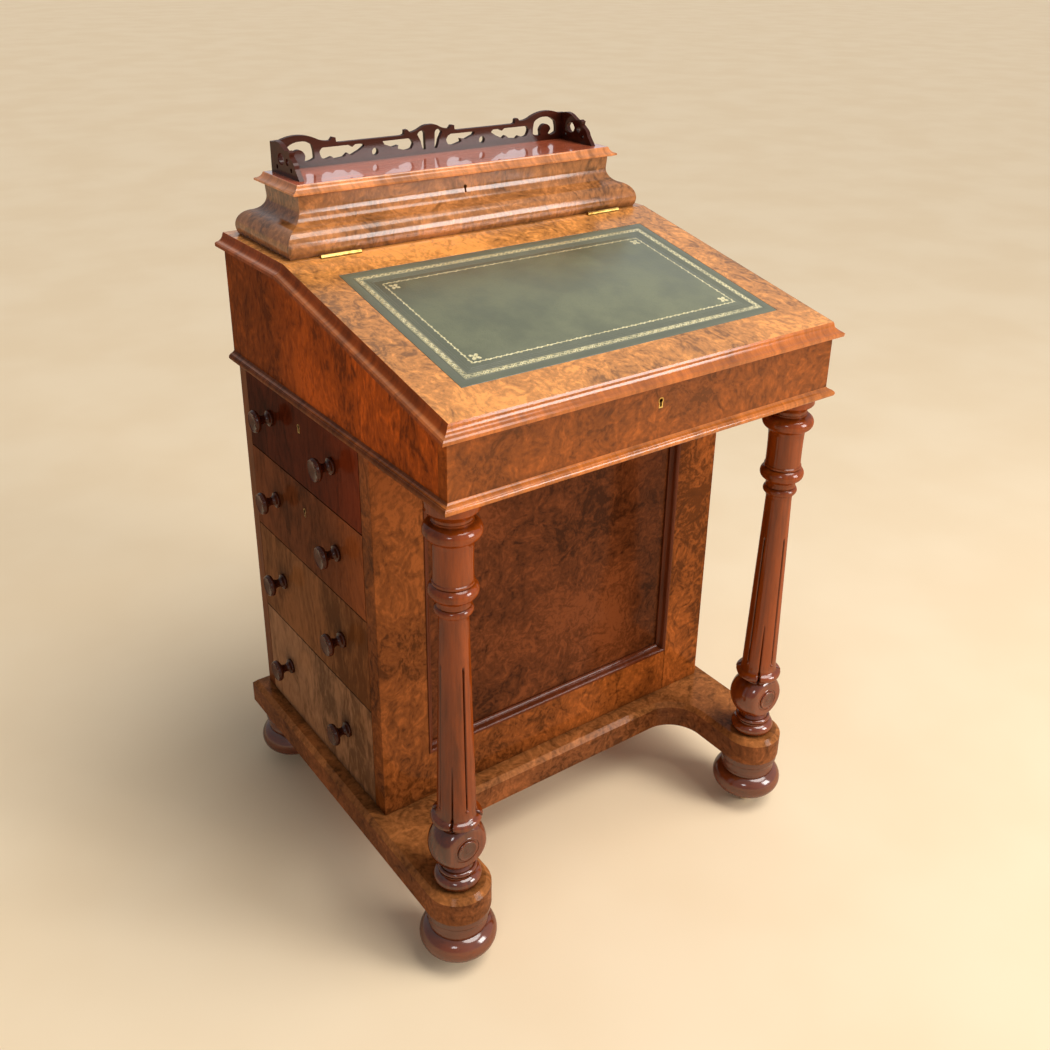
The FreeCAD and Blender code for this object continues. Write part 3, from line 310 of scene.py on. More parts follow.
# the mouldings' sideways faces are painted darker than their fronts, as shade
edgeFinish = crossBanded("mouldedEdge", corner={"halfWidth": 0.2630, "front": -0.2530, "back": 9.0}, rub=0.3,
                         coat=1.0, coatRough=0.14, endTint=(0.62, 0.45, 0.50, 1.0), mean=tone(170, 93, 35))
lowerFinish = crossBanded("lowerBead", corner={"halfWidth": 0.2650, "front": -0.2530, "back": 9.0}, rub=0.25,
                          coat=0.8, endTint=(0.38, 0.34, 0.42, 1.0), mean=tone(179, 102, 43))
# the box lid's moulded edge is painted paler, as a reflection of bright light along it
boxEdgeFinish = crossBanded("boxLidEdge", corner={"halfWidth": 0.2240, "front": 0.1198, "back": 0.2098}, rub=0.3,
                            coat=0.9, mean=tone(206, 129, 74))
# the box lid's top is painted paler, as sheen on the top
shelfFinish = straight("shelfTop", shift=(0.4, 0.1, 0.0), rough=0.2, coat=1.0, coatRough=0.04, coatIor=2.1,
                       gloss=0.3, rub=0.0, mean=tone(221, 112, 75))
panelEdgeFinish = straight("panelEdge", stretch=(1.0, 1.0, 0.12), coat=0.3, mean=tone(95, 44, 22))
turnedFinish = straight("turnedWalnut", stretch=(1.0, 1.0, 0.10), rub=0.25, coat=0.32, coatRough=0.11, coatIor=2.0,
                        contrast=0.12, low=0.5, high=1.4, quirk=0.016, dirtDepth=0.95, ringDepth=0.08, poreDepth=0.15,
                        drift={"axis": 2, "wander": 0.02, "start": 0.245, "end": 0.19, "coat": 0.6,
                               "tint": (0.72, 0.68, 0.75, 1.0)},
                        mean=tone(128, 55, 12))
footFinish = straight("turnedFoot", stretch=(0.3, 0.3, 1.0), rub=0.3, coat=0.6, coatRough=0.13, coatIor=2.0,
                      dirtDepth=0.95, mean=tone(103, 46, 19))
knobFinish = straight("turnedKnob", stretch=(0.2, 1.0, 1.0), rub=0.3, coat=0.6, coatRough=0.07, mean=tone(76, 32, 14))
galleryFinish = straight("fretWalnut", rub=0.4, coat=0.4, mean=tone(70, 32, 22))
backFinish = straight("backWalnut", stretch=(1.0, 1.0, 0.14), mean=tone(115, 65, 36))
insideFinish = straight("insideOak", stretch=(0.1, 1.0, 1.0), rough=0.55, coat=0.0, rub=0.0, gloss=0.3, lineShare=0.5,
                        dirtShare=0.35, mean=tone(165, 118, 70))
print("wood finishes made")


# metal

brassLook = {
    "pale": tone(214, 180, 104), "deep": tone(150, 110, 52), "tarnish": tone(74, 52, 26), "rough": 0.30,
    "cloudScale": 60.0, "clouds": (0.35, 0.62), "cloudRough": 0.3, "speckScale": 420.0, "specks": (0.56, 0.70),
    "speckShare": 0.35, "speckRough": 0.2, "crease": 0.004, "creaseShare": 0.7, "castScale": 700.0,
    "castDepth": 0.00008, "samples": 4,
}


def brassFinish(look):
    finish = Finish("agedBrass")
    place = finish.node("ShaderNodeTexCoord", {}, {}, 3)
    cloud = finish.noise(place, look["cloudScale"], 4.0)
    speck = finish.step(finish.noise(place, look["speckScale"], 3.0), *look["specks"])
    tint = finish.blend(look["deep"], look["pale"], finish.step(cloud, *look["clouds"]))
    clear = finish.node("ShaderNodeAmbientOcclusion", {"samples": look["samples"]}, {"Distance": look["crease"]}, 1)
    tint = finish.blend(tint, look["tarnish"], (1 - clear) * look["creaseShare"] + speck * look["speckShare"])
    rough = look["rough"] + (cloud - 0.5) * look["cloudRough"] + speck * look["speckRough"]
    cast = finish.bump(finish.noise(place, look["castScale"], 2.0), look["castDepth"])
    return finish.close({"Base Color": tint, "Metallic": 1.0, "Roughness": rough, "Normal": cast})


brass = brassFinish(brassLook)


# leather with gilt tooling, drawn on its own flat map in metres

leatherLook = {
    "halfWidth": 0.2177, "halfLength": 0.1262, "thick": 0.0011, "hinge": (0.0, 0.086, 0.773), "slope": 11.5,
    "middle": -0.1715, "edgeRound": 0.0005, "edgeSteps": 3, "sharp": 30,
    "field": tone(112, 114, 80), "fieldDeep": tone(92, 95, 66), "border": tone(86, 88, 66), "borderShare": 0.6,
    "borderEdge": (-0.004, 0.003), "gilt": tone(252, 240, 190), "giltDeep": tone(226, 206, 140),
    "strokeSoft": (0.7, 1.3), "outerBand": 0.0155, "outerHalf": 0.0034, "outerSoft": 0.0004, "scroll": 0.0112,
    "stem": {"sway": 0.0018, "half": 0.00095}, "leaf": {"sway": 0.0017, "half": 0.00085, "gate": (-0.7, -0.1)},
    "curl": {"sway": 0.0021, "half": 0.00065, "gate": (-0.6, 0.0)}, "rule": {"half": 0.00022, "share": 0.6},
    "wash": 0.26, "innerBand": 0.0353, "innerHalf": 0.00060, "innerShare": 0.9,
    "sprig": {"run": 0.0064, "sway": 0.0009, "half": 0.00095, "gate": (-0.75, -0.2)},
    "blindLines": (0.0108, 0.0216, 0.0245, 0.0274), "blindHalf": 0.00035, "blindDepth": 0.00018,
    "fleuron": 0.0095, "fleuronSize": 0.0068, "petalShare": 0.75, "fleuronSoft": 0.0003,
    "fleuronEye": (0.0006, 0.0012),
    "wearScale": 260.0, "wear": (0.32, 0.46), "wornScale": 24.0, "worn": (0.30, 0.55), "wornShare": 0.4,
    "mottleScale": 14.0, "mottle": (0.35, 0.65), "grainScale": 760.0, "grain": (0.45, 0.8), "grainShare": 0.35,
    "goldScale": 500.0, "gold": (0.35, 0.6), "rough": 0.36, "mottleRough": 0.2, "giltRough": 0.08, "giltMetal": 0.3,
    "creaseScale": 90.0, "relief": 0.00022, "gloss": 1.0,
}


def leatherFinish(look):
    finish = Finish("tooledLeather")
    flat = finish.node("ShaderNodeUVMap", {"uv_map": "flat"}, {})
    u, v, _ = finish.axes(flat)
    sideGap = look["halfWidth"] - u.maths("ABSOLUTE")
    endGap = look["halfLength"] - v.maths("ABSOLUTE")
    gap = sideGap.maths("MINIMUM", endGap)
    onSide = endGap.maths("GREATER_THAN", sideGap)
    along = u + (v - u) * onSide

    def stroke(value, half):
        return 1 - finish.step(value.maths("ABSOLUTE"), *(half * share for share in look["strokeSoft"]))

    # outer band: a running scroll with leaves between two fine lines
    across = gap - look["outerBand"]
    turn = along * (2 * math.pi / look["scroll"])
    stem = stroke(across - turn.maths("SINE") * look["stem"]["sway"], look["stem"]["half"])
    leaf = stroke(across + (turn * 2.0).maths("SINE") * look["leaf"]["sway"], look["leaf"]["half"])
    leaf = leaf * finish.step(turn.maths("COSINE"), *look["leaf"]["gate"])
    curl = stroke(across - (turn * 3.0).maths("COSINE") * look["curl"]["sway"], look["curl"]["half"])
    curl = curl * finish.step(turn.maths("SINE"), *look["curl"]["gate"])
    rules = stroke(across.maths("ABSOLUTE") - look["outerHalf"], look["rule"]["half"]) * look["rule"]["share"]
    inOuter = 1 - finish.step(across.maths("ABSOLUTE"), look["outerHalf"], look["outerHalf"] + look["outerSoft"])
    outer = stem
    for mark in (leaf, curl, rules, inOuter * look["wash"]):
        outer = outer.maths("MAXIMUM", mark)
    outer = outer * inOuter

    # inner band: one fine line with a small leaf run
    within = gap - look["innerBand"]
    small = along * (2 * math.pi / look["sprig"]["run"])
    sprig = stroke(within - small.maths("SINE") * look["sprig"]["sway"], look["sprig"]["half"])
    sprig = sprig * finish.step((small * 0.5).maths("SINE"), *look["sprig"]["gate"])
    inner = (stroke(within, look["innerHalf"]) * look["innerShare"]).maths("MAXIMUM", sprig)

    # a small four-petalled flower in each inner corner
    spotU = sideGap - (look["innerBand"] + look["fleuron"])
    spotV = endGap - (look["innerBand"] + look["fleuron"])
    reach = (spotU * spotU + spotV * spotV).maths("SQRT")
    angle = spotV.maths("ARCTAN2", spotU)
    petals = ((angle - math.pi / 4) * 2.0).maths("COSINE").maths("ABSOLUTE")
    outline = (petals * look["petalShare"] + (1 - look["petalShare"])) * look["fleuronSize"]
    flower = 1 - finish.step(reach - outline, -look["fleuronSoft"], look["fleuronSoft"])
    flower = flower * finish.step(reach, *look["fleuronEye"])

    gilt = outer.maths("MAXIMUM", inner).maths("MAXIMUM", flower)
    wear = finish.step(finish.noise(flat, look["wearScale"], 4.0, 0.7), *look["wear"])
    worn = finish.step(finish.noise(flat, look["wornScale"], 2.0), *look["worn"])
    gilt = gilt * wear * (worn * look["wornShare"] + (1 - look["wornShare"]))

    # mottled field, painted paler than its border as sheen in the middle, with a fine grain
    mottle = finish.noise(flat, look["mottleScale"], 5.0, 0.6)
    tint = finish.blend(look["fieldDeep"], look["field"], finish.step(mottle, *look["mottle"]))
    band = 1 - finish.step(gap, *(look["innerBand"] + edge for edge in look["borderEdge"]))
    tint = finish.blend(tint, look["border"], band * look["borderShare"])
    grain = finish.node("ShaderNodeTexVoronoi", {"feature": "SMOOTH_F1"},
                        {"Vector": flat, "Scale": look["grainScale"], "Smoothness": 0.6})
    tint = finish.blend(tint, look["fieldDeep"], finish.step(grain, *look["grain"]) * look["grainShare"])
    foil = finish.step(finish.noise(flat, look["goldScale"], 2.0), *look["gold"])
    tint = finish.blend(tint, finish.blend(look["giltDeep"], look["gilt"], foil), gilt)
    rough = look["rough"] + (mottle - 0.5) * look["mottleRough"] - gilt * look["giltRough"]
    height = (1 - grain) * 0.6 - gilt * 0.5 + finish.noise(flat, look["creaseScale"], 3.0) * 0.5
    return finish.close({"Base Color": tint, "Metallic": gilt * look["giltMetal"], "Roughness": rough,
                         "Normal": finish.bump(height, look["relief"]), "Specular IOR Level": look["gloss"]})


leather = leatherFinish(leatherLook)
print("leather and brass made")


# mesh helpers

def pieceFrom(bm, name, body, finish, replaced, sharp):
    mesh = bpy.data.meshes.new(name)
    bm.to_mesh(mesh)
    bm.free()
    mesh.shade_smooth()
    mesh.set_sharp_from_angle(angle=math.radians(sharp))
    piece = bpy.data.objects.new(name, mesh)
    bpy.context.scene.collection.objects.link(piece)
    mesh.materials.append(finish)
    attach(piece, body)
    if replaced:
        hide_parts(*replaced)
    return piece


def traced(outline):
    # outline points are (radius, height, bulge of the next stretch, steps on it), in millimetres
    points = []
    for (r, z, bulge, steps), (nextR, nextZ, *_) in zip(outline, outline[1:] + outline[-1:]):
        points.append(Vector((r, 0, z)) * mm)
        along = Vector((nextR - r, 0, nextZ - z)) * mm
        if not bulge:
            points += [points[-1] + along * share / steps for share in range(1, steps)]
            continue
        half = 2 * math.atan(abs(bulge))
        radius = along.length / (2 * math.sin(half))
        outward = Vector((along.z, 0, -along.x)).normalized() * math.copysign(1, bulge)
        along.normalize()
        centre = points[-1] + along * radius * math.sin(half) - outward * radius * math.cos(half)
        for step in range(1, steps):
            angle = half * (2 * step / steps - 1)
            points.append(centre + (outward * math.cos(angle) + along * math.sin(angle)) * radius)
    return points


def turnedShell(bm, outline, steps):
    # spins one closed outline about Z and returns its new vertices
    fresh = [bm.verts.new(point) for point in traced(outline)]
    edges = [bm.edges.new(pair) for pair in zip(fresh, fresh[1:])]
    bmesh.ops.spin(bm, geom=fresh + edges, cent=(0, 0, 0), axis=(0, 0, 1), angle=2 * math.pi, steps=steps,
                   use_merge=True)
    bmesh.ops.remove_doubles(bm, verts=[vert for vert in bm.verts if not vert.tag], dist=weldGap)
    shell = [vert for vert in bm.verts if not vert.tag]
    for vert in shell:
        vert.tag = True
    return shell


# carved columns

columnLook = {
    "x": 0.2405, "y": -0.2220, "foot": 0.115, "steps": 144,
    "base": [(0, 0, 0, 1), (22, 0, 0.75, 14), (22, 15.9, 0, 1), (22, 17.9, 0, 1), (20, 17.9, 0.9, 8),
             (20, 24.3, 0, 1), (19, 24.3, 0, 1), (17, 28.1, 0, 1), (0, 28.1, 0, 1)],
    "ball": [(0, 28.1, 0, 1), (17, 28.1, 0.537, 40), (20, 83.8, 0, 1), (0, 83.8, 0, 1)],
    "shaft": [(0, 83.8, 0, 1), (20, 83.8, 0, 1), (20, 86.3, 0, 3), (25.4, 88.6, 0.7, 14), (25.4, 100.0, 0, 2),
              (24.0, 101.0, -0.1, 8), (22.1, 110.1, 0, 90), (16.1, 354.0, -0.1, 4), (17.0, 361.0, 0, 1),
              (17.4, 362.6, 0.7, 12), (17.4, 372.6, 0, 1), (18.6, 373.2, -0.2, 5), (19.6, 381.0, 0, 1),
              (21.5, 382.6, 0.66, 14), (21.5, 398.8, 0, 1), (22.6, 399.8, 0, 1), (22.6, 402.2, 0, 1),
              (21.5, 403.0, -0.02, 8), (22, 448.6, 0, 2), (24.3, 451.2, 0.75, 14), (24.3, 468.8, 0, 1),
              (21.8, 469.6, 0, 1), (22.3, 470.2, 0, 1), (22.3, 472.4, 0, 1), (21.3, 473.2, -0.35, 8),
              (27.5, 483.0, 0, 1), (29, 485.0, 0, 1), (29, 496, 0, 1), (0, 496, 0, 1)],
    "flat": 21.5, "flatSoft": 1.9, "ballHeight": 57.0, "roundelSteps": 72, "roundelRing": (12.9, 15), "ringDirt": 0.8,
    "roundelDish": 11.0, "dishDirt": 0.6, "core": 5, "leastShare": 0.2, "sharp": 40,
    "roundel": [(0, -3, 0, 1), (16.6, -3, 0, 1), (16.6, -0.1, 0.3, 3), (15.4, 0.5, 0, 2), (14.4, -1.4, 0, 1),
                (13.5, -1.4, 0, 2), (12.7, 0.9, 0.5, 5), (11.2, 1.9, -0.2, 6), (4.2, 1.0, 0, 1), (3.4, 1.0, 0.3, 5),
                (0, 1.7, 0, 1)],
    "longGroove": {"low": 115.0, "high": 303.0, "half": 1.05, "stop": 0.9, "stopRun": 9, "run": 2.5, "depth": 2.4},
    "shortGroove": {"low": 84.0, "high": 178.0, "half": 1.1, "run": 3, "fade": 60, "least": 0.3, "depth": 2.4},
    "lobe": {"low": 82.0, "high": 106.0, "half": 2.2, "run": 6, "depth": 3.4, "dirt": 0.8, "lift": 3.0,
             "inside": 20.5, "top": 101, "rolled": 102, "roll": 12, "power": 4},
    "pellet": {"radius": 2.0, "height": 113.0, "out": 21.6, "around": 14, "down": 8},
}


def dip(distance, half):
    # the round hollow of a groove, 1 in its middle
    return max(0.0, 1 - (distance / half) ** 2)


def clamped(share):
    return max(0.0, min(1.0, share))


def ramped(value, low, high, run):
    return clamped(min((value - low) / run, (high - value) / run))


def carveShaft(verts, look, dirt):
    # long grooves on the quarters, short ones between them, and a notched, rolled rim below
    grooves, shorts, lobe = look["longGroove"], look["shortGroove"], look["lobe"]
    for vert in verts:
        radius = math.hypot(vert.co.x, vert.co.y) / mm
        height = vert.co.z / mm
        if radius < look["core"] or height > grooves["high"]:
            continue
        angle = math.atan2(vert.co.y, vert.co.x)
        fromLong = abs((angle + math.pi / 4) % (math.pi / 2) - math.pi / 4) * radius
        fromShort = abs(angle % (math.pi / 2) - math.pi / 4) * radius
        top, stopRun = grooves["high"], grooves["stopRun"]
        half = grooves["half"] + grooves["stop"] * ramped(height, top - stopRun, top + stopRun, stopRun)
        long = dip(fromLong, half) * ramped(height, grooves["low"], top, grooves["run"])
        deepen = shorts["least"] + (1 - shorts["least"]) * clamped((shorts["high"] - height) / shorts["fade"])
        short = deepen * dip(fromShort, shorts["half"]) * ramped(height, shorts["low"], shorts["high"], shorts["run"])
        notch = dip(fromShort, lobe["half"]) * ramped(height, lobe["low"], lobe["high"], lobe["run"])
        cut = grooves["depth"] * long + shorts["depth"] * short + lobe["depth"] * notch
        scale = max(look["leastShare"], (radius - cut) / radius)
        vert.co.x *= scale
        vert.co.y *= scale
        # the grooves and the rim's notches are marked for painted shade, with some old polish
        vert[dirt] = min(1.0, long + short + notch * lobe["dirt"])
        if radius > lobe["inside"] and height < lobe["top"]:
            rolled = clamped((lobe["rolled"] - height) / lobe["roll"])
            vert.co.z += lobe["lift"] * mm * abs(math.sin(2 * angle)) ** lobe["power"] * rolled


def carveBall(bm, verts, look, dirt):
    # the front is worked to a flat with a soft edge, and a dished roundel stands on it
    flat, soft = look["flat"], look["flatSoft"]
    for vert in verts:
        vert.co.y = (soft * math.log(1 + math.exp((flat + vert.co.y / mm) / soft)) - flat) * mm
    roundel = turnedShell(bm, look["roundel"], look["roundelSteps"])
    inner, outer = look["roundelRing"]
    for vert in roundel:
        radius = math.hypot(vert.co.x, vert.co.y) / mm
        # the roundel's ring groove and its dish are marked for painted shade
        if inner < radius < outer:
            vert[dirt] = look["ringDirt"]
        elif radius < look["roundelDish"]:
            vert[dirt] = look["dishDirt"]
    face = Matrix.Translation((0, -flat * mm, look["ballHeight"] * mm)) @ Matrix.Rotation(math.pi / 2, 4, "X")
    bmesh.ops.transform(bm, verts=roundel, matrix=face)


def carvedColumn(side, sign, look):
    bm = bmesh.new()
    dirt = bm.verts.layers.float.new("dirt")
    turnedShell(bm, look["base"], look["steps"])
    carveBall(bm, turnedShell(bm, look["ball"], look["steps"]), look, dirt)
    carveShaft(turnedShell(bm, look["shaft"], look["steps"]), look, dirt)
    pellet = look["pellet"]
    for quarter in range(4):
        angle = quarter * math.pi / 2
        spot = Vector((math.cos(angle) * pellet["out"], math.sin(angle) * pellet["out"], pellet["height"])) * mm
        bmesh.ops.create_uvsphere(bm, u_segments=pellet["around"], v_segments=pellet["down"],
                                  radius=pellet["radius"] * mm, matrix=Matrix.Translation(spot))
    bmesh.ops.recalc_face_normals(bm, faces=bm.faces[:])
    bmesh.ops.translate(bm, verts=bm.verts[:], vec=(sign * look["x"], look["y"], look["foot"]))
    name, replaced = f"{side}ColumnCarved", [f"{side}_column"]
    return pieceFrom(bm, name, "carcase", turnedFinish, replaced, look["sharp"])


for side, sign in (("left", -1), ("right", 1)):
    carvedColumn(side, sign, columnLook)
print("columns carved")


# writing leather: a thin sheet with softened edges and pressed lines

def writingLeather(look):
    bm = bmesh.new()
    bmesh.ops.create_grid(bm, x_segments=1, y_segments=1, size=1.0)
    bmesh.ops.scale(bm, verts=bm.verts[:], vec=(look["halfWidth"], look["halfLength"], 1))
    sheet = bm.faces[:]
    up = bmesh.ops.extrude_face_region(bm, geom=sheet)["geom"]
    lifted = [item for item in up if isinstance(item, bmesh.types.BMVert)]
    bmesh.ops.translate(bm, verts=lifted, vec=(0, 0, look["thick"]))
    bmesh.ops.recalc_face_normals(bm, faces=bm.faces[:])
    top = max(bm.faces, key=lambda face: face.calc_center_median().z)
    bmesh.ops.bevel(bm, geom=list(top.edges), offset=look["edgeRound"], offset_type="OFFSET",
                    segments=look["edgeSteps"], profile=0.5, affect="EDGES", material=-1)
    bm.faces.ensure_lookup_table()
    top = [max(bm.faces, key=lambda face: (round(face.calc_center_median().z, 7), face.calc_area()))]
    done = look["edgeRound"]
    half, depth = look["blindHalf"], look["blindDepth"]
    for line in look["blindLines"]:
        for thickness, sink in ((line - half - done, 0.0), (half, -depth), (half, depth)):
            bmesh.ops.inset_region(bm, faces=top, thickness=thickness, depth=sink, use_even_offset=True)
        done = line + half
    flat = bm.loops.layers.uv.new("flat")
    for face in bm.faces:
        for loop in face.loops:
            loop[flat].uv = loop.vert.co.xy
    tilt = Matrix.Rotation(math.radians(look["slope"]), 4, "X")
    lay = Matrix.Translation(look["hinge"]) @ tilt @ Matrix.Translation((0, look["middle"], -look["thick"]))
    bmesh.ops.transform(bm, matrix=lay, verts=bm.verts[:])
    return pieceFrom(bm, "writingLeather", "writing_lid", leather, ["writing_leather"], look["sharp"])


writingLeather(leatherLook)
leatherLook["halfWidth"] * 2
leatherLook["halfLength"] * 2
print("leather laid")


# finishes on the solids whose shapes stay

nodeFinish = {
    "lid_board": lidFinish, "lid_moulding": edgeFinish, "fixed_top": lidFinish, "fixed_top_moulding": edgeFinish,
    "desk_front_rail": railFinish, "desk_cheeks": cheekFinish, "desk_lower_moulding": lowerFinish,
    "front_frame": stileFinish, "front_panel": panelFinish, "front_panel_moulding": panelEdgeFinish,
    "back_frame": backFinish, "back_panel": backFinish, "back_panel_moulding": panelEdgeFinish,
    "right_side_panel": backFinish, "dummy_drawer_fronts": drawerFinishes[3], "dummy_drawer_knobs": knobFinish,
    "base_plinth": plinthFinish, "bun_feet": footFinish, "dust_boards": insideFinish,
    "desk_floor": insideFinish, "desk_back_board": backFinish, "box_front": boxFinish, "box_ends": boxFinish,
    "box_back": boxFinish, "box_dividers": insideFinish, "box_lid_board": shelfFinish,
    "box_lid_moulding": boxEdgeFinish, "gallery_back": galleryFinish, "gallery_ends": galleryFinish,
    "desk_escutcheon": brass, "locks": brass,
    "hinge_fixed_leaves": brass, "hinge_pins": brass, "lid_hinge_leaves": brass, "box_lid_hinge_leaves": brass,
}
for number in range(1, 5):
    nodeFinish[f"drawer_{number}_front"] = drawerFinishes[number]
    nodeFinish[f"drawer_{number}_box"] = insideFinish
    nodeFinish[f"drawer_{number}_knobs"] = knobFinish
for corner in ("front_left", "front_right", "rear_left", "rear_right"):
    nodeFinish[f"castor_horn_{corner}"] = brass
    nodeFinish[f"castor_wheel_{corner}"] = brass
for name, finish in nodeFinish.items():
    slots = nodes[name].data.materials
    slots.clear()
    slots.append(finish)
print("solids finished:", len(nodeFinish))


# softened arrises on the plain boards, so that edges catch the light

softLook = {
    "width": 0.0007, "segments": 2, "flat": 0.5, "sharp": 35,
    "boards": ["lid_board", "fixed_top", "desk_front_rail", "desk_cheeks", "front_frame", "back_frame",
               "dummy_drawer_fronts", "drawer_1_front", "drawer_2_front", "drawer_3_front", "drawer_4_front",
               "box_lid_board"],
}


def soften(piece, look):
    weld = piece.modifiers.new("weld", "WELD")
    weld.merge_threshold = weldGap
    flat = piece.modifiers.new("flatten", "DECIMATE")
    flat.decimate_type = "DISSOLVE"
    flat.angle_limit = math.radians(look["flat"])
    bevel = piece.modifiers.new("soften", "BEVEL")
    bevel.width = look["width"]
    bevel.segments = look["segments"]
    bevel.limit_method = "ANGLE"
    bevel.angle_limit = math.radians(look["sharp"])
    bevel.harden_normals = True


for name in softLook["boards"]:
    soften(nodes[name], softLook)
print("arrises softened:", len(softLook["boards"]))


# brass threads round the keyholes of the two upper drawers

threadLook = {
    "x": -0.2600, "y": 0.0840, "drawers": {1: 0.577, 2: 0.465}, "round": 2.4, "slot": 1.2, "drop": 7.0, "rim": 0.9,
    "proud": 0.25, "sunk": 1.0, "arc": 20, "sharp": 30,
}


def keyThread(number, height, look):
    # a keyhole outline drawn twice, inside and outside, and joined by a raised rim
    bm = bmesh.new()
    loops = []
    rim, proud, sunk = look["rim"], look["proud"], look["sunk"]
    for grow, out in ((0.0, -sunk), (0.0, proud), (rim, proud), (rim, -sunk)):
        radius, slot = look["round"] + grow, look["slot"] + grow
        mouth = math.asin(slot / radius)
        sweep = 2 * math.pi - 2 * mouth
        angles = [-math.pi / 2 + mouth + sweep * step / look["arc"] for step in range(look["arc"] + 1)]
        points = [(radius * math.cos(a), radius * math.sin(a)) for a in angles]
        points += [(-slot, -look["drop"] - grow), (slot, -look["drop"] - grow)]
        loop = [bm.verts.new(Vector((-out, side, up)) * mm) for side, up in points]
        loops.append([bm.edges.new(pair) for pair in zip(loop, loop[1:] + loop[:1])])
    for first, second in zip(loops, loops[1:]):
        bmesh.ops.bridge_loops(bm, edges=first + second)
    bmesh.ops.recalc_face_normals(bm, faces=bm.faces[:])
    bmesh.ops.translate(bm, verts=bm.verts[:], vec=(look["x"], look["y"], height))
    return pieceFrom(bm, f"drawer{number}KeyThread", f"drawer_{number}", brass, (), look["sharp"])


for number, height in threadLook["drawers"].items():
    keyThread(number, height, threadLook)
print("key threads set")


# stage, light and camera

stageLook = {
    "floor": tone(240, 218, 184), "floorDeep": tone(236, 212, 176), "reach": 60.0, "cloudScale": 3.0,
    "clouds": (0.3, 0.7), "rough": 0.8, "light": tone(236, 238, 242), "dim": tone(165, 165, 168), "dimSide": -0.8,
    "lightSide": 0.5, "skyLight": 0.44, "skySeen": 0.86,
}


def layFloor(look):
    bm = bmesh.new()
    bmesh.ops.create_grid(bm, x_segments=1, y_segments=1, size=look["reach"])
    mesh = bpy.data.meshes.new("studioFloor")
    bm.to_mesh(mesh)
    bm.free()
    floor = bpy.data.objects.new("studioFloor", mesh)
    bpy.context.scene.collection.objects.link(floor)
    finish = Finish("studioFloor")
    place = finish.node("ShaderNodeTexCoord", {}, {}, 3)
    cloud = finish.noise(place, look["cloudScale"], 3.0)
    tint = finish.blend(look["floor"], look["floorDeep"], finish.step(cloud, *look["clouds"]))
    mesh.materials.append(finish.close({"Base Color": tint, "Roughness": look["rough"]}))


def lightRoom(look):
    # an even room, dimmer towards the drawer side; the camera and the polish see it paler than it lights
    world = bpy.data.worlds.new("studioSky")
    bpy.context.scene.world = world
    world.use_nodes = True
    tree = world.node_tree
    tree.nodes.clear()

    def add(kind, **settings):
        made = tree.nodes.new(kind)
        for key, setting in settings.items():
            setattr(made, key, setting)
        return made

    place = add("ShaderNodeTexCoord")
    split = add("ShaderNodeSeparateXYZ")
    tree.links.new(place.outputs["Generated"], split.inputs[0])
    share = add("ShaderNodeMapRange", interpolation_type="SMOOTHSTEP")
    share.inputs["From Min"].default_value = look["dimSide"]
    share.inputs["From Max"].default_value = look["lightSide"]
    tree.links.new(split.outputs[0], share.inputs["Value"])
    tint = add("ShaderNodeMix", data_type="RGBA")
    tint.inputs[6].default_value = look["dim"]
    tint.inputs[7].default_value = look["light"]
    tree.links.new(share.outputs[0], tint.inputs[0])
    path = add("ShaderNodeLightPath")
    seen = add("ShaderNodeMath", operation="MAXIMUM")
    also = add("ShaderNodeMath", operation="MAXIMUM")
    tree.links.new(path.outputs["Is Camera Ray"], seen.inputs[0])
    tree.links.new(path.outputs["Is Glossy Ray"], seen.inputs[1])
    tree.links.new(seen.outputs[0], also.inputs[0])
    tree.links.new(path.outputs["Is Transmission Ray"], also.inputs[1])
    mix = add("ShaderNodeMixShader")
    tree.links.new(also.outputs[0], mix.inputs[0])
    for socket, strength in ((1, look["skyLight"]), (2, look["skySeen"])):
        sky = add("ShaderNodeBackground")
        sky.inputs["Strength"].default_value = strength
        tree.links.new(tint.outputs[2], sky.inputs["Color"])
        tree.links.new(sky.outputs[0], mix.inputs[socket])
    end = add("ShaderNodeOutputWorld")
    tree.links.new(mix.outputs[0], end.inputs["Surface"])


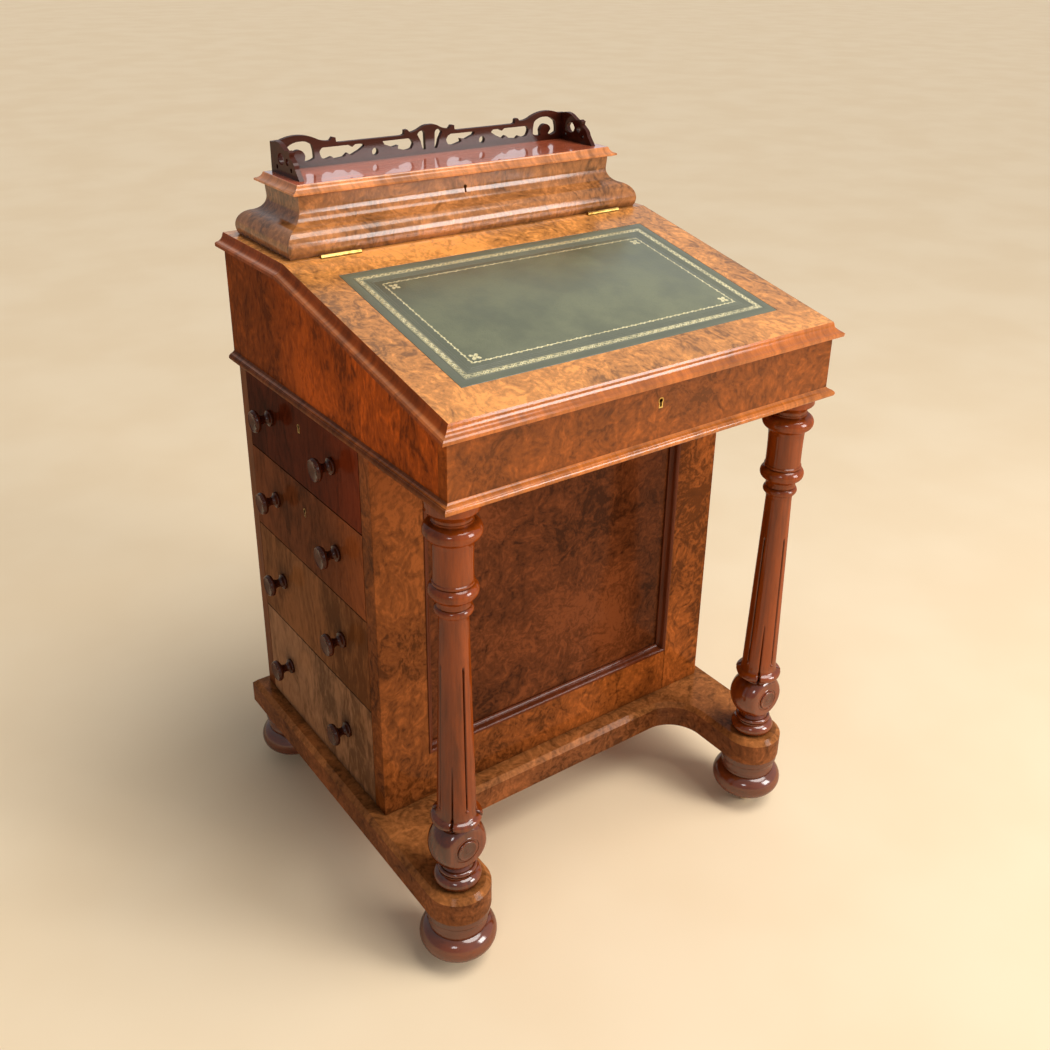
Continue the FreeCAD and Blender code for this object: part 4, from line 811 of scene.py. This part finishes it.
lampLooks = [
    {"name": "ceilingSun", "kind": "SUN", "at": (0.8, -0.9, 2.6), "aim": (0.0, 0.0, 0.0), "spread": 34.0,
     "power": 1.9, "tint": (1.0, 0.97, 0.92)},
    {"name": "windowLamp", "kind": "AREA", "at": (1.4, -2.2, 1.25), "aim": (0.0, -0.1, 0.45), "size": (0.90, 1.20),
     "power": 46.0, "tint": (1.0, 0.98, 0.95)},
    {"name": "nearLamp", "kind": "AREA", "at": (-1.9, -1.9, 1.9), "aim": (0.0, -0.1, 0.4), "size": (0.60, 0.60),
     "power": 9.0, "tint": (0.96, 0.98, 1.0)},
]


def hangLamp(look):
    lamp = bpy.data.lights.new(look["name"], look["kind"])
    lamp.energy = look["power"]
    lamp.color = look["tint"]
    if look["kind"] == "SUN":
        lamp.angle = math.radians(look["spread"])
    else:
        lamp.shape = "RECTANGLE"
        lamp.size, lamp.size_y = look["size"]
    hung = bpy.data.objects.new(look["name"], lamp)
    bpy.context.scene.collection.objects.link(hung)
    hung.location = look["at"]
    hung.rotation_euler = (Vector(look["aim"]) - Vector(look["at"])).to_track_quat("-Z", "Y").to_euler()


cameraLook = {
    "eye": (-0.7725, -1.0719, 1.1265), "right": (0.81305, -0.58205, 0.01267), "up": (0.23618, 0.34965, 0.90662),
    "back": (-0.53213, -0.73414, 0.42176), "lens": 39.478, "sensor": 36.0, "shift": (0.0026, -0.0716),
}


def setCamera(look):
    lens = bpy.data.cameras.new("deskCamera")
    lens.sensor_width = look["sensor"]
    lens.lens = look["lens"]
    lens.shift_x, lens.shift_y = look["shift"]
    camera = bpy.data.objects.new("deskCamera", lens)
    bpy.context.scene.collection.objects.link(camera)
    turn = Matrix((look["right"], look["up"], look["back"])).transposed().to_4x4()
    camera.matrix_world = Matrix.Translation(look["eye"]) @ turn
    bpy.context.scene.camera = camera


layFloor(stageLook)
lightRoom(stageLook)
for lampLook in lampLooks:
    hangLamp(lampLook)
setCamera(cameraLook)
bpy.context.scene.view_settings.view_transform = "Standard"
print("stage set")
